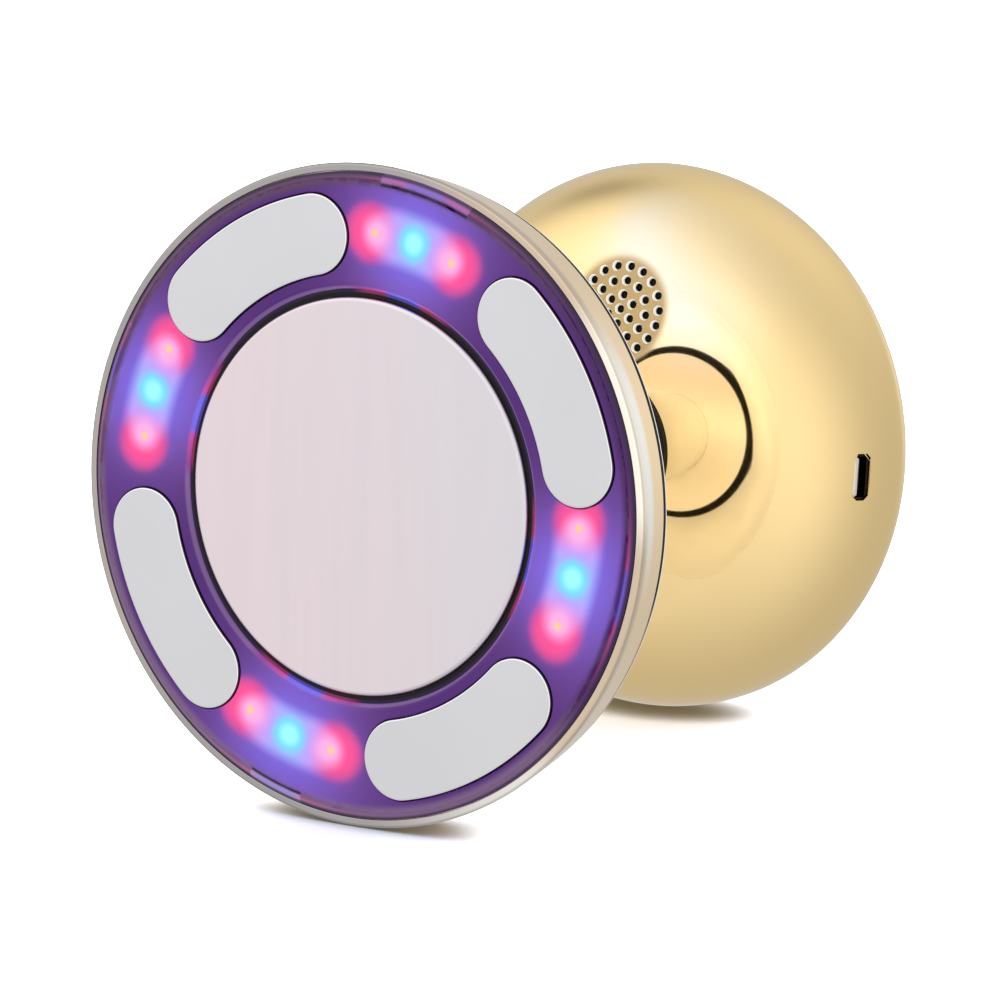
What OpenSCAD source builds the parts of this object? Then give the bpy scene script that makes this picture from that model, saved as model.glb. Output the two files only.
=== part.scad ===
// Hand-held ultrasonic cavitation massager: a round treatment head and a palm grip on one neck.
// It lies on a table on the head's rim and on the widest ring of the grip, face toward -Y.
// Every piece is drawn in the device's own frame and placed once by lying():
// t runs along the axis from the treatment face (t = 0) back to the grip, and local -y is up.
// An angle is counted counter-clockwise as seen from in front of the treatment face, 0 at the right.

/* [Treatment head] */
// Outer radius of the head's rim
head_r = 46; // [44:0.5:50]
// Width of the rim's lip in front, outside the light panel
lip_w = 1.2; // [1:0.1:1.6]
// Radius that rounds the rim's front edge
lip_round = 1.1; // [0.8:0.1:1.3]
// Depth of the rim ring along the axis
rim_depth = 8.1; // [7.8:0.1:9]
// How much the rim ring narrows toward its back edge
rim_taper = 1.6; // [1:0.1:1.8]
// Radius of the steel plate in the middle
plate_r = 27.6; // [26:0.2:28.4]
// Thickness of the steel plate
plate_h = 2; // [1.8:0.1:2.4]
// Width of the groove between the plate and the light panel
plate_groove = 1.1; // [0.9:0.1:1.4]
// Thickness of the light panel
panel_h = 1.6; // [1.4:0.1:1.9]
// Wall of the head's back shell
head_wall = 1.8; // [1.6:0.1:2]
// Radius of the boss that houses the transducer
boss_r = 19.4; // [19:0.1:21]
// Level of the boss's foot, from the treatment face
boss_foot = 14.4; // [14:0.1:15]
// Level of the boss's flat top, from the treatment face
boss_top = 22.8; // [22.6:0.1:24]
// Thickness of the metal cap on the boss
boss_cap_h = 0.8; // [0.6:0.1:1]
// Width of the dark ring round the boss
boss_ring_w = 2; // [1.4:0.1:2.4]
// How far the dark ring ends below the boss's top
boss_ring_drop = 1; // [0.6:0.1:2]

/* [Electrodes and lights] */
// Width of the light panel between its inner edge and an electrode
electrode_land_in = 2.1; // [1.8:0.1:2.6]
// Width of the light panel between an electrode and its outer edge
electrode_land_out = 2.6; // [2.2:0.1:3]
// Angle that an electrode spans, round ends included
electrode_arc_angle = 52.6; // [48:0.2:54]
// How far the electrodes stand proud of the panel
electrode_proud = 0.3; // [0.2:0.05:0.5]
// Angle of the first electrode's middle
electrode_angle = 29.8; // [20:0.1:40]
// How far the lights' circle lies inside the electrodes' circle
light_inset = 0.2; // [0:0.1:0.4]
// Angle between neighbouring lights of one group
light_step_angle = 11.5; // [11:0.1:12]
// Side of a square light
light_side = 3; // [2.6:0.1:3.2]
// Height of a light above its board
light_h = 1; // [0.8:0.1:1.2]

/* [Transducer] */
// Radius of the aluminium front mass
front_mass_r = 14; // [13:0.2:15]
// Height of the front mass
front_mass_h = 6; // [5.6:0.1:6.2]
// Outer radius of the ceramic rings
ceramic_r = 12.5; // [11:0.2:13]
// Thickness of one ceramic ring
ceramic_h = 2; // [1.8:0.1:2.1]
// Height of the back mass
back_mass_h = 3.2; // [2.8:0.1:3.4]
// Radius of the clamp bolt's shaft
clamp_bolt_r = 2.5; // [2:0.1:3]

/* [Neck] */
// Outer radius of the neck tube
neck_r = 9.5; // [9:0.1:10]
// Wall of the neck tube
neck_wall = 1.6; // [1.2:0.1:2]
// Radius of the neck's flange inside the head
neck_flange_r = 13; // [12.6:0.1:14]
// Radius of the wire harness
harness_r = 1; // [0.8:0.05:1.1]

/* [Grip] */
// Radius of the grip at its widest ring
grip_r = 40.5; // [39.5:0.1:41.5]
// Distance from the treatment face to the grip's widest ring
grip_waist = 80.2; // [80:0.5:90]
// Radius of the shallow dome in front of the grip
dome_r = 120; // [100:2:150]
// Width of the rounded shoulder between the dome and the widest ring
shoulder_w = 20; // [19:0.2:21]
// Depth of the shoulder along the axis
shoulder_h = 17.3; // [16.6:0.1:18.4]
// Depth of the grip behind its widest ring
grip_back = 14.2; // [13.8:0.1:15]
// Wall of the grip's shells
grip_wall = 1.8; // [1.6:0.1:2]
// Distance of the shells' joint behind the widest ring
seam_back = 4; // [3.8:0.1:4.2]
// Radius of the sound holes' centre from the axis
grille_r = 20.9; // [20.6:0.1:21.6]
// Angle of the sound holes' centre
grille_angle = 82.3; // [60:0.1:120]
// Pitch of the rings of sound holes
grille_pitch = 2.12; // [2:0.02:2.16]
// Radius of a sound hole
grille_hole_r = 0.52; // [0.4:0.02:0.6]
// Rings of sound holes round the middle one
grille_rings = 3; // [1:1:3]
// Height of the charging socket's slot
slot_h = 6.8; // [6:0.1:7.2]
// Width of the charging socket's slot
slot_w = 2.5; // [2.4:0.05:2.8]
// Distance of the charging socket from the axis
slot_r = 38.45; // [38.1:0.05:38.7]
// Angle of the charging socket
slot_angle = -2.4; // [-10:0.2:10]
// Depth of the charging socket
socket_depth = 5.6; // [5:0.1:6]

/* [Controls] */
// Radius of the round control panel
control_r = 16.8; // [16:0.1:17.2]
// Radius of a button
key_r = 3.7; // [3.2:0.1:4]
// Distance of a button from the axis
key_ring = 9.2; // [8.8:0.1:9.6]
// How far a button stands proud of the grip
key_proud = 0.5; // [0.3:0.1:0.8]
// How far a button travels when it is pressed
key_travel = 0.4; // [0.2:0.05:0.5]
// Radius of the status light
status_r = 1.2; // [0.8:0.1:1.5]

/* [Inside the grip] */
// Gap between the main board's edge and the shell
board_gap = 2.2; // [1.6:0.1:3.2]
// Thickness of the circuit boards
board_h = 1.2; // [1:0.1:1.4]
// Length of the battery
battery_l = 38; // [34:0.5:38.5]
// Width of the battery
battery_w = 24; // [20:0.5:24.5]
// Thickness of the battery
battery_h = 8; // [6:0.2:8.4]
// Radius of the speaker
speaker_r = 7; // [6.6:0.1:7.1]

/* [Fits] */
// Gap round a piece that drops into its seat
seat_gap = 0.1; // [0.05:0.01:0.15]
// Gap round a screw or tube in its bore
bore_gap = 0.05; // [0.03:0.01:0.08]
// Gap round a moving button
key_gap = 0.15; // [0.1:0.01:0.25]

/* [Hidden] */
$fn = 96;

gold = "#e3c27f";
steel = "#dcd7da";

// Head, front to back
panel_r = head_r - lip_w;
panel_inner = plate_r + plate_groove;
electrode_w = panel_r - panel_inner - electrode_land_in - electrode_land_out;
electrode_ring = panel_inner + electrode_land_in + electrode_w / 2;
light_ring = electrode_ring - light_inset;
panel_bevel = 0.9;
bevel_drop = 0.45;
plate_flange_h = 1.2;
plate_flange_r = panel_inner + 0.7;
electrode_flange_h = 0.8;
electrode_flange_w = 1;
rim_inner = head_r - 2.8;
lip_t = lip_round + 0.35;
reflector_t = panel_h + electrode_flange_h;
led_board_t = 6;
led_board_back = led_board_t + board_h - 0.2;
ring_inner = plate_flange_r - 2.8;
spigot_r = rim_inner - 0.2;
spigot_t = 5.4;
board_outer = spigot_r - head_wall + 0.4 - 2 * seat_gap;
back_edge_t = rim_depth + 0.15;
back_edge_r = head_r - rim_taper - 0.5;
ring_outer = boss_r + boss_ring_w + 0.1;
shell_top = boss_top - boss_cap_h;
screw_r = 0.95;
head_screw_ring = electrode_ring;
screw_offset = 12;

// Stack of the transducer, from the plate backwards
mass_top = plate_h + front_mass_h;
shim_t = mass_top + ceramic_h;
shim_h = 0.3;
stack_top = shim_t + shim_h + ceramic_h;
back_mass_top = stack_top + back_mass_h;
bolt_head_h = 2.1;
shim_tab = ceramic_r + 2;

// Neck
neck_inner = neck_r - neck_wall;
flange_h = 1.6;
flange_t = shell_top - head_wall - 0.2 - flange_h;
neck_screw_ring = (neck_flange_r + neck_r) / 2 - 0.4;
collar_r = neck_r + 2.7;
harness_x = neck_inner - harness_r - 1.2;

// Grip profile: a shallow spherical dome that runs smoothly into a quarter ellipse, the shoulder, in front
// of the widest ring, and half an ellipse behind it. They meet at dome_edge, at the shoulder's angle meet.
function shoulder_r(a) = grip_r - shoulder_w + shoulder_w * sin(a);
function shoulder_tilt(a) = atan(shoulder_h / shoulder_w * tan(a));
function find_meet(low, high, n) = let (a = (low + high) / 2, flatter = shoulder_r(a) > dome_r * sin(shoulder_tilt(a)))
    n == 0 ? a : find_meet(flatter ? a : low, flatter ? high : a, n - 1);
meet = find_meet(0, 89, 40);
dome_edge = shoulder_r(meet);
function dome_rise(r) = dome_r - sqrt(pow(dome_r, 2) - pow(r, 2));
dome_t = grip_waist - shoulder_h * cos(meet) - dome_rise(dome_edge);
function shoulder_angle(r) = asin(min(1, (r - grip_r + shoulder_w) / shoulder_w));
function front_t(r) = r < dome_edge ? dome_t + dome_rise(r) : grip_waist - shoulder_h * cos(shoulder_angle(r));
function front_tilt(r) = r < dome_edge ? asin(r / dome_r) : shoulder_tilt(shoulder_angle(r));
function back_t(r) = grip_waist + grip_back * sqrt(max(0, 1 - pow(r / grip_r, 2)));
// Radii at which the front's profile is drawn, and a point of it, set in by the wall for the inside
function front_radii(from) = concat([for (i = [0:7]) from + (dome_edge - from) * i / 8],
    [for (i = [0:17]) shoulder_r(meet + (90 - meet) * i / 18)]);
function front_point(r, inward) = [r - inward * sin(front_tilt(r)), front_t(r) + inward * cos(front_tilt(r))];
inner_r = grip_r - grip_wall;
inner_back = grip_back - grip_wall;
function inner_back_t(r) = grip_waist + inner_back * sqrt(max(0, 1 - pow(r / inner_r, 2)));
function inner_back_r(t) = inner_r * sqrt(max(0, 1 - pow((t - grip_waist) / inner_back, 2)));
seam_t = grip_waist + seam_back;
seam_gap = 0.1;
pole_r = collar_r + 0.2;
pole_t = front_t(pole_r);
nut_t = pole_t + grip_wall + 1.9;
nut_h = 2;
neck_end = nut_t + nut_h + 0.4;

// Board, switches and buttons
board_back = seam_t + 2.4;
board_t = board_back - board_h;
board_r = inner_back_r(board_back) - board_gap;
switch_h = 1.6;
key_foot = board_back + switch_h + key_travel + 0.1;
key_flange_h = 0.9;
key_flange_w = 0.5;
control_t = key_foot + key_flange_h + 0.25;
ledge_h = 1.5;
key_top = back_t(key_ring) + key_proud;
post_ring = board_r - 4;
tray_wall = 1.2;
tray_t = board_t - 1.3;
battery_t = tray_t - tray_wall - battery_h;
battery_y = battery_w / 2 + tray_wall + 2;

// How the device lies: the line from the rim's contact to the grip's contact is level
tilt = asin((head_r - grip_r) / (grip_waist - lip_t));
axis_z = (head_r - lip_round) * cos(tilt) + lip_t * sin(tilt) + lip_round;
front_y = -(panel_r - panel_bevel) * sin(tilt);
grip_y = grip_waist * cos(tilt) + sqrt(pow(grip_back * cos(tilt), 2) + pow(grip_r * sin(tilt), 2));
key_y = key_top * cos(tilt) + (key_ring + key_r) * sin(tilt);
shift_y = -(front_y + max(grip_y, key_y)) / 2;

module lying() {
    translate([0, shift_y, axis_z]) rotate([-90 - tilt, 0, 0]) children();
}

module lathe(points) {
    rotate_extrude() polygon(points);
}

// A plain ring between two radii and two levels
module ring(inner, outer, low, high) {
    lathe([[inner, low], [outer, low], [outer, high], [inner, high]]);
}

// A straight cylinder between two levels
module post(r, low, high) {
    translate([0, 0, low]) cylinder(r = r, h = high - low);
}

// Puts a piece at a distance from the axis and an angle seen from the front
module around(angle, distance = 0) {
    rotate([0, 0, -angle]) translate([distance, 0, 0]) children();
}

// Puts a piece on the grip's front, its +Z along the outward normal
module on_grip_front(angle, distance) {
    around(angle, distance) translate([0, 0, front_t(distance)])
        rotate([0, 180 - front_tilt(distance), 0]) children();
}

// Angle that a length along the electrodes' circle spans
function span_of(length) = length / electrode_ring * 180 / PI;

function arc(cx, cy, rx, ry, from, to, steps) =
    [for (i = [0:steps]) let (a = from + (to - from) * i / steps) [cx + rx * cos(a), cy + ry * sin(a)]];

// Outline of a curved bar with round ends, centred on angle 0
function bar(mid, width, span) = let (w = width / 2, half = span / 2 - asin(w / mid), n = 12)
    concat(
        [for (i = [0:n]) let (a = -half + 2 * half * i / n) (mid + w) * [cos(a), sin(a)]],
        [for (i = [1:n - 1]) let (a = half + 180 * i / n) mid * [cos(half), sin(half)] + w * [cos(a), sin(a)]],
        [for (i = [0:n]) let (a = half - 2 * half * i / n) (mid - w) * [cos(a), sin(a)]],
        [for (i = [1:n - 1]) let (a = 180 - half + 180 * i / n)
            mid * [cos(half), -sin(half)] + w * [cos(a), sin(a)]]);

module bar_prism(mid, width, span, low, high) {
    translate([0, 0, low]) linear_extrude(high - low) polygon(bar(mid, width, span));
}

module centre_plate() {
    edge = 0.6;
    color(steel) lying() lathe(concat(
        [[0, plate_h + plate_flange_h], [0, 0], [plate_r - edge, 0]],
        arc(plate_r - edge, edge, edge, edge, -90, 0, 6),
        [[plate_r, plate_h], [plate_flange_r, plate_h], [plate_flange_r, plate_h + plate_flange_h]]));
}

module plate_gasket() {
    color("#241c24") lying() ring(plate_r + seat_gap / 2, panel_inner - seat_gap / 2, plate_h - 1.3, plate_h);
}

module front_panel() {
    chamfer = 0.5;
    color("#5f3a86") lying() difference() {
        lathe([[panel_inner, chamfer], [panel_inner + chamfer, 0], [panel_r - panel_bevel, 0],
            [panel_r - seat_gap, bevel_drop], [panel_r - seat_gap, panel_h], [panel_inner, panel_h]]);
        for (i = [0:3]) around(electrode_angle + 90 * i)
            bar_prism(electrode_ring, electrode_w + 2 * seat_gap, electrode_arc_angle + span_of(2 * seat_gap),
                -1, panel_h + 1);
    }
}

module rim_ring() {
    back_r = head_r - rim_taper;
    color(gold) lying() lathe(concat(
        [[panel_r, panel_h], [panel_r, lip_t - lip_round]],
        arc(head_r - lip_round, lip_t, lip_round, lip_round, -90, 0, 8),
        [[back_r, rim_depth - 0.3], [back_r - 0.3, rim_depth], [rim_inner, rim_depth], [rim_inner, panel_h]]));
}

module electrode(number) {
    edge = 0.35;
    proud = electrode_proud;
    flange = 2 * electrode_flange_w;
    arc_angle = electrode_arc_angle;
    color("#d9d8da") lying() around(electrode_angle + 90 * (number - 1)) {
        bar_prism(electrode_ring, electrode_w - edge, arc_angle - span_of(edge), -proud, edge - proud);
        bar_prism(electrode_ring, electrode_w, arc_angle, edge - proud, panel_h);
        bar_prism(electrode_ring, electrode_w + flange, arc_angle + span_of(flange), panel_h, reflector_t);
    }
}

module reflector_ring() {
    pocket_end = 4.45;
    color("#f2f0f4") lying() difference() {
        lathe([[plate_flange_r + seat_gap, reflector_t], [spigot_r, reflector_t], [spigot_r, spigot_t - 0.1],
            [board_outer, spigot_t - 0.1], [board_outer, led_board_t], [ring_inner, led_board_t],
            [ring_inner, plate_h + plate_flange_h], [plate_flange_r + seat_gap, plate_h + plate_flange_h]]);
        for (i = [0:3]) around(electrode_angle + 45 + 90 * i)
            bar_prism(light_ring, electrode_w - 0.6, 2 * light_step_angle + span_of(2 * pocket_end),
                reflector_t - 1, led_board_t + 1);
        for (i = [0:3]) {
            around(electrode_angle + 90 * i - screw_offset, head_screw_ring) {
                post(2, reflector_t - 1, reflector_t + 1.8);
                post(screw_r + 0.15, reflector_t, led_board_t + 1);
            }
            around(electrode_angle + 90 * i + screw_offset, electrode_ring)
                post(1.4, reflector_t - 1, led_board_t + 1);
        }
    }
}

module led_board() {
    color("#e9ece6") lying() difference() {
        ring(ring_inner, board_outer, led_board_t, led_board_back);
        for (i = [0:3]) around(electrode_angle + 90 * i - screw_offset, head_screw_ring)
            post(screw_r + 0.15, led_board_t - 1, led_board_back + 1);
    }
}

// One square light with its round lens, on the front of its board
module light() {
    side = light_side;
    translate([-side / 2, -side / 2, led_board_t - light_h]) cube([side, side, light_h]);
    post(side / 2 - 0.3, led_board_t - light_h - 0.3, led_board_t - light_h);
}

module red_leds() {
    color("#ff5f86") lying() for (i = [0:3], side = [-1, 1])
        around(electrode_angle + 45 + 90 * i + side * light_step_angle, light_ring) light();
}

module blue_leds() {
    color("#58e6ff") lying() for (i = [0:3]) around(electrode_angle + 45 + 90 * i, light_ring) light();
}

module electrode_contacts() {
    color("#c9a24a") lying() for (i = [0:3]) around(electrode_angle + 90 * i + screw_offset, electrode_ring)
        post(1.2, reflector_t, led_board_t);
}

module head_screws() {
    color("#9a9a9e") lying() for (i = [0:3]) around(electrode_angle + 90 * i - screw_offset, head_screw_ring) {
        post(1.8, reflector_t + 0.3, reflector_t + 1.8);
        post(screw_r, reflector_t + 1.8, led_board_back + 2);
    }
}

// Level of the back shell's sloping outside at a radius between its edge and the boss
function slope_t(r) = back_edge_t + (boss_foot - back_edge_t) * (back_edge_r - r) / (back_edge_r - ring_outer);

module head_back_shell() {
    spigot_wall = head_wall - 0.4;
    wall = head_wall;
    color(gold) lying() difference() {
        union() {
            lathe(concat(
                [[spigot_r - spigot_wall, spigot_t], [spigot_r, spigot_t], [spigot_r, back_edge_t],
                    [back_edge_r, back_edge_t], [ring_outer, boss_foot], [boss_r, boss_foot]],
                [[boss_r, shell_top], [neck_r + bore_gap, shell_top], [neck_r + bore_gap, shell_top - wall - 0.2],
                    [boss_r - wall - 0.4, shell_top - wall - 0.2], [boss_r - wall, slope_t(ring_outer) - wall],
                    [ring_outer, slope_t(ring_outer) - wall],
                    [spigot_r - spigot_wall, slope_t(spigot_r - spigot_wall) - wall]]));
            for (i = [0:3]) around(electrode_angle + 90 * i - screw_offset, head_screw_ring)
                post(2.4, led_board_back, slope_t(head_screw_ring) - wall / 2);
        }
        for (i = [0:3]) around(electrode_angle + 90 * i - screw_offset, head_screw_ring)
            post(screw_r + bore_gap, led_board_back - 1, led_board_back + 2.1);
        for (i = [0:2]) around(30 + 120 * i, neck_screw_ring)
            post(screw_r + bore_gap, shell_top - wall - 1, shell_top - 0.6);
    }
}

module boss_ring() {
    top = boss_top - boss_ring_drop;
    outer = boss_r + boss_ring_w;
    edge = 0.8;
    color("#1f1a17") lying() lathe(concat([[boss_r + bore_gap, boss_foot], [outer, boss_foot]],
        arc(outer - edge, top - edge, edge, edge, 0, 90, 6), [[boss_r + bore_gap, top]]));
}

module boss_cap() {
    edge = 0.5;
    color("#e6d9bc") lying() lathe(concat([[neck_r + bore_gap, shell_top], [boss_r, shell_top]],
        arc(boss_r - edge, boss_top - edge, edge, edge, 0, 90, 6), [[neck_r + bore_gap, boss_top]]));
}

module front_mass() {
    color("#b8bcc2") lying() difference() {
        post(front_mass_r, plate_h + plate_flange_h, mass_top);
        post(clamp_bolt_r + bore_gap, plate_h + plate_flange_h + 1.5, mass_top + 1);
    }
}

module ceramic_rings() {
    color("#d9cfb6") lying() {
        ring(clamp_bolt_r + 0.6, ceramic_r, mass_top, shim_t);
        ring(clamp_bolt_r + 0.6, ceramic_r, shim_t + shim_h, stack_top);
    }
}

module contact_shim() {
    color("#c98b4b") lying() difference() {
        union() {
            post(ceramic_r + 0.1, shim_t, shim_t + shim_h);
            translate([-1.5, -shim_tab, shim_t]) cube([3, shim_tab - 5, shim_h]);
        }
        post(clamp_bolt_r + 0.6, shim_t - 1, shim_t + 1);
    }
}

module back_mass() {
    color("#8d9096") lying() ring(clamp_bolt_r + bore_gap, ceramic_r, stack_top, back_mass_top);
}

module clamp_bolt() {
    color("#6f7277") lying() {
        post(clamp_bolt_r, plate_h + plate_flange_h + 1.6, back_mass_top);
        translate([0, 0, back_mass_top]) cylinder(r = 1.75 * clamp_bolt_r, h = bolt_head_h, $fn = 6);
    }
}

module neck_tube() {
    color(gold) lying() difference() {
        union() {
            ring(neck_inner, neck_r, flange_t, neck_end);
            ring(neck_inner, neck_flange_r, flange_t, flange_t + flange_h);
        }
        for (i = [0:2]) around(30 + 120 * i, neck_screw_ring)
            post(screw_r + 0.1, flange_t - 1, flange_t + flange_h + 1);
    }
}

module neck_screws() {
    color("#9a9a9e") lying() for (i = [0:2]) around(30 + 120 * i, neck_screw_ring) {
        post(1.6, flange_t - 1.1, flange_t);
        post(screw_r, flange_t, shell_top - 0.8);
    }
}

module neck_seal() {
    color("#1f1a17") lying() lathe([[neck_r + bore_gap, pole_t], [neck_r + bore_gap, pole_t - 1.4],
        [collar_r - 0.6, pole_t - 1.4], [collar_r, pole_t - 0.7], [collar_r, pole_t]]);
}

module neck_nut() {
    color("#b08a45") lying() difference() {
        ring(neck_r + bore_gap, collar_r - 0.4, nut_t, nut_t + nut_h);
        for (i = [0:3]) rotate([0, 0, 45 + 90 * i]) translate([collar_r - 1.4, -1, nut_t + 1]) cube([2, 2, 2]);
    }
}

// A straight run of wire between two points of the plane through the axis, given as [up, t]
module wire(from, to, r) {
    d = to - from;
    translate([0, -from[0], from[1]]) rotate([atan2(d[0], d[1]), 0, 0]) cylinder(r = r, h = norm(d));
    translate([0, -to[0], to[1]]) sphere(r = r + 0.06);
}

module wire_harness() {
    duct_t = (back_mass_top + flange_t) / 2;
    plug_up = ring_inner + 3;
    plug_t = led_board_back;
    boss_up = boss_r - head_wall - harness_r - 0.4;
    route = [[harness_x, board_t - 3], [harness_x, duct_t], [boss_up, duct_t],
        [boss_up, shim_t + harness_r + 0.2], [plug_up - harness_r, plug_t + harness_r + 0.4]];
    color("#3a3a40") lying() {
        for (i = [0:3]) wire(route[i], route[i + 1], harness_r);
        wire([shim_tab - 0.7, duct_t], [shim_tab - 0.7, shim_t + shim_h + 0.6], 0.5);
        translate([-0.4, -shim_tab + 0.3, shim_t + shim_h]) cube([0.8, 0.8, 0.8]);
        translate([-3, -plug_up - 2, plug_t]) cube([6, 3.4, 2.4]);
        translate([-4, -harness_x - 2, board_t - 3.2]) cube([8, 4, 3.2]);
    }
}

// Sound holes in rings round a middle one, along the surface's normal
module grille_holes() {
    on_grip_front(grille_angle, grille_r) {
        cylinder(r = grille_hole_r, h = 8, center = true);
        for (k = [1:grille_rings], i = [0:6 * k - 1]) rotate([0, 0, 60 * i / k])
            translate([grille_pitch * k, 0, 0]) cylinder(r = grille_hole_r, h = 8, center = true);
    }
}

// A bar with a round-cornered section, drawn along -Z from the surface
module rounded_bar(tall, wide, corner, from, to) {
    module section(w, h) translate([-w / 2, -h / 2, from]) cube([w, h, to - from]);
    section(wide - 2 * corner, tall);
    section(wide, tall - 2 * corner);
    for (x = [-1, 1], y = [-1, 1])
        translate([x * (wide / 2 - corner), y * (tall / 2 - corner), from]) cylinder(r = corner, h = to - from);
}

module grip_front_shell() {
    seat_depth = 4.4;
    a_out = asin(seam_back / grip_back);
    a_in = asin(seam_back / inner_back);
    radii = front_radii(pole_r);
    inner_radii = front_radii(collar_r);
    count = len(inner_radii);
    lip_low = seam_t - 2;
    lip_high = seam_t + 1.6;
    color(gold) lying() difference() {
        union() {
            lathe(concat(
                [[neck_r + bore_gap, pole_t]],
                [for (r = radii) front_point(r, 0)],
                arc(0, grip_waist, grip_r, grip_back, 0, a_out, 4),
                arc(0, grip_waist, inner_r, inner_back, a_in, 0, 4),
                [for (i = [1:count - 1]) front_point(inner_radii[count - i], grip_wall)],
                [[collar_r, nut_t], [neck_r + bore_gap, nut_t]]));
            lathe([[inner_back_r(lip_low) - 1, lip_low], [inner_back_r(lip_low) + 0.4, lip_low],
                [inner_back_r(seam_t) + 0.4, seam_t], [inner_back_r(seam_t) - seat_gap, seam_t],
                [inner_back_r(lip_high) - seat_gap, lip_high], [inner_back_r(lip_high) - 1.1, lip_high],
                [inner_back_r(seam_t) - 1.2, seam_t]]);
            on_grip_front(grille_angle, grille_r) difference() {
                translate([0, 0, -seat_depth]) cylinder(r = speaker_r + 0.9, h = seat_depth - 1);
                translate([0, 0, -seat_depth - 1]) cylinder(r = speaker_r + seat_gap, h = seat_depth + 2);
            }
        }
        grille_holes();
        on_grip_front(slot_angle, slot_r)
            rounded_bar(slot_h, slot_w, 0.6, -socket_depth - 2, 3);
    }
}

module grip_back_shell() {
    a_seam = asin((seam_back + seam_gap) / grip_back);
    a_seam_in = asin((seam_back + seam_gap) / inner_back);
    bore = control_r + seat_gap;
    foot = control_t - ledge_h;
    color(gold) lying() difference() {
        union() {
            lathe(concat(
                arc(0, grip_waist, grip_r, grip_back, a_seam, acos(bore / grip_r), 14),
                [[bore, control_t], [bore - 1.6, control_t], [bore - 1.6, foot], [bore + 1.6, foot]],
                arc(0, grip_waist, inner_r, inner_back, acos((bore + 1.6) / inner_r), a_seam_in, 14)));
            for (a = [90, 205, 335]) around(a, post_ring)
                post(2.6, board_back, inner_back_t(post_ring) + grip_wall / 2);
        }
        for (a = [90, 205, 335]) around(a, post_ring)
            post(screw_r + bore_gap, board_back - 1, board_back + 2.4);
    }
}

module speaker() {
    depth = grip_wall + 0.75;
    color("#2b2b2e") lying() on_grip_front(grille_angle, grille_r) {
        translate([0, 0, -depth - 1.6]) cylinder(r = speaker_r, h = 1.6);
        translate([0, 0, -depth - 3.4]) cylinder(r = 0.62 * speaker_r, h = 1.8);
    }
}

module charging_socket() {
    sheet = 0.3;
    tall = slot_h - 2 * seat_gap;
    wide = slot_w - 2 * seat_gap;
    color("#c9cacf") lying() on_grip_front(slot_angle, slot_r) difference() {
        rounded_bar(tall, wide, 0.55, -socket_depth, -0.5);
        translate([0, 0, sheet]) rounded_bar(tall - 2 * sheet, wide - 2 * sheet, 0.3, -socket_depth, 1);
    }
}

module socket_tongue() {
    color("#202024") lying() on_grip_front(slot_angle, slot_r)
        translate([-0.3, -slot_h / 2 + 1.1, -socket_depth + 0.3]) cube([0.6, slot_h - 2.2, socket_depth - 1.8]);
}

module battery() {
    color("#4b6f9c") lying() translate([-battery_l / 2, battery_y - battery_w / 2, battery_t])
        cube([battery_l, battery_w, battery_h]);
}

module battery_tray() {
    l = battery_l + 2 * tray_wall;
    w = battery_w + 2 * tray_wall;
    floor_t = battery_t + battery_h;
    gap = seat_gap;
    color("#33343a") lying() difference() {
        union() {
            translate([-l / 2, battery_y - w / 2, battery_t + 2]) cube([l, w, tray_t - battery_t - 2]);
            for (x = [-1, 1], y = [-1, 1]) translate([x * (l / 2 - 5), battery_y + y * (w / 2 - 5), 0])
                post(2, tray_t - 0.5, board_t);
        }
        translate([-battery_l / 2 - gap, battery_y - battery_w / 2 - gap, battery_t])
            cube([battery_l + 2 * gap, battery_w + 2 * gap, floor_t - battery_t]);
    }
}

module main_board() {
    color("#2f6b46") lying() difference() {
        post(board_r, board_t, board_back);
        for (a = [90, 205, 335]) around(a, post_ring) post(screw_r + 0.15, board_t - 1, board_back + 1);
    }
}

module board_screws() {
    color("#9a9a9e") lying() for (a = [90, 205, 335]) around(a, post_ring) {
        post(1.8, board_t - 1.3, board_t);
        post(screw_r, board_t, board_back + 2.2);
    }
}

module key_switches() {
    side = 4.4;
    color("#1e1e21") lying() for (i = [0:3]) around(90 * i, key_ring) {
        translate([-side / 2, -side / 2, board_back]) cube([side, side, switch_h - 0.5]);
        post(1.3, board_back + switch_h - 0.5, board_back + switch_h);
    }
}

module control_panel() {
    color("#f1ead9") lying() difference() {
        lathe(concat([[0, control_t], [control_r, control_t]],
            arc(0, grip_waist, grip_r, grip_back, acos(control_r / grip_r), 90, 8)));
        for (i = [0:3]) around(90 * i, key_ring) post(key_r + key_gap, control_t - 1, key_top + 1);
        post(status_r + seat_gap, control_t - 1, key_top + 1);
    }
}

module status_light() {
    color("#bfe9ff") lying() {
        post(status_r, board_back, back_t(0) - 0.1);
        post(status_r + 0.6, board_back, board_back + 1);
    }
}

// A button with the flange that keeps it behind the control panel
module key(angle) {
    chamfer = 0.4;
    flange_r = key_r + key_flange_w;
    color(gold) lying() around(angle, key_ring)
        lathe([[0, key_foot], [flange_r, key_foot], [flange_r, key_foot + key_flange_h],
            [key_r, key_foot + key_flange_h], [key_r, key_top - chamfer], [key_r - chamfer, key_top], [0, key_top]]);
}

centre_plate();
plate_gasket();
front_panel();
rim_ring();
electrode(1);  // electrode_1
electrode(2);  // electrode_2
electrode(3);  // electrode_3
electrode(4);  // electrode_4
reflector_ring();
led_board();
red_leds();
blue_leds();
electrode_contacts();
head_screws();
head_back_shell();
boss_ring();
boss_cap();
front_mass();
ceramic_rings();
contact_shim();
back_mass();
clamp_bolt();
neck_tube();
neck_screws();
neck_seal();
neck_nut();
wire_harness();
grip_front_shell();
grip_back_shell();
speaker();
charging_socket();
socket_tongue();
battery();
battery_tray();
main_board();
board_screws();
key_switches();
control_panel();
status_light();
key(90);  // power_button
key(270);  // mode_button
key(0);  // plus_button
key(180);  // minus_button
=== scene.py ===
import math

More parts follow.
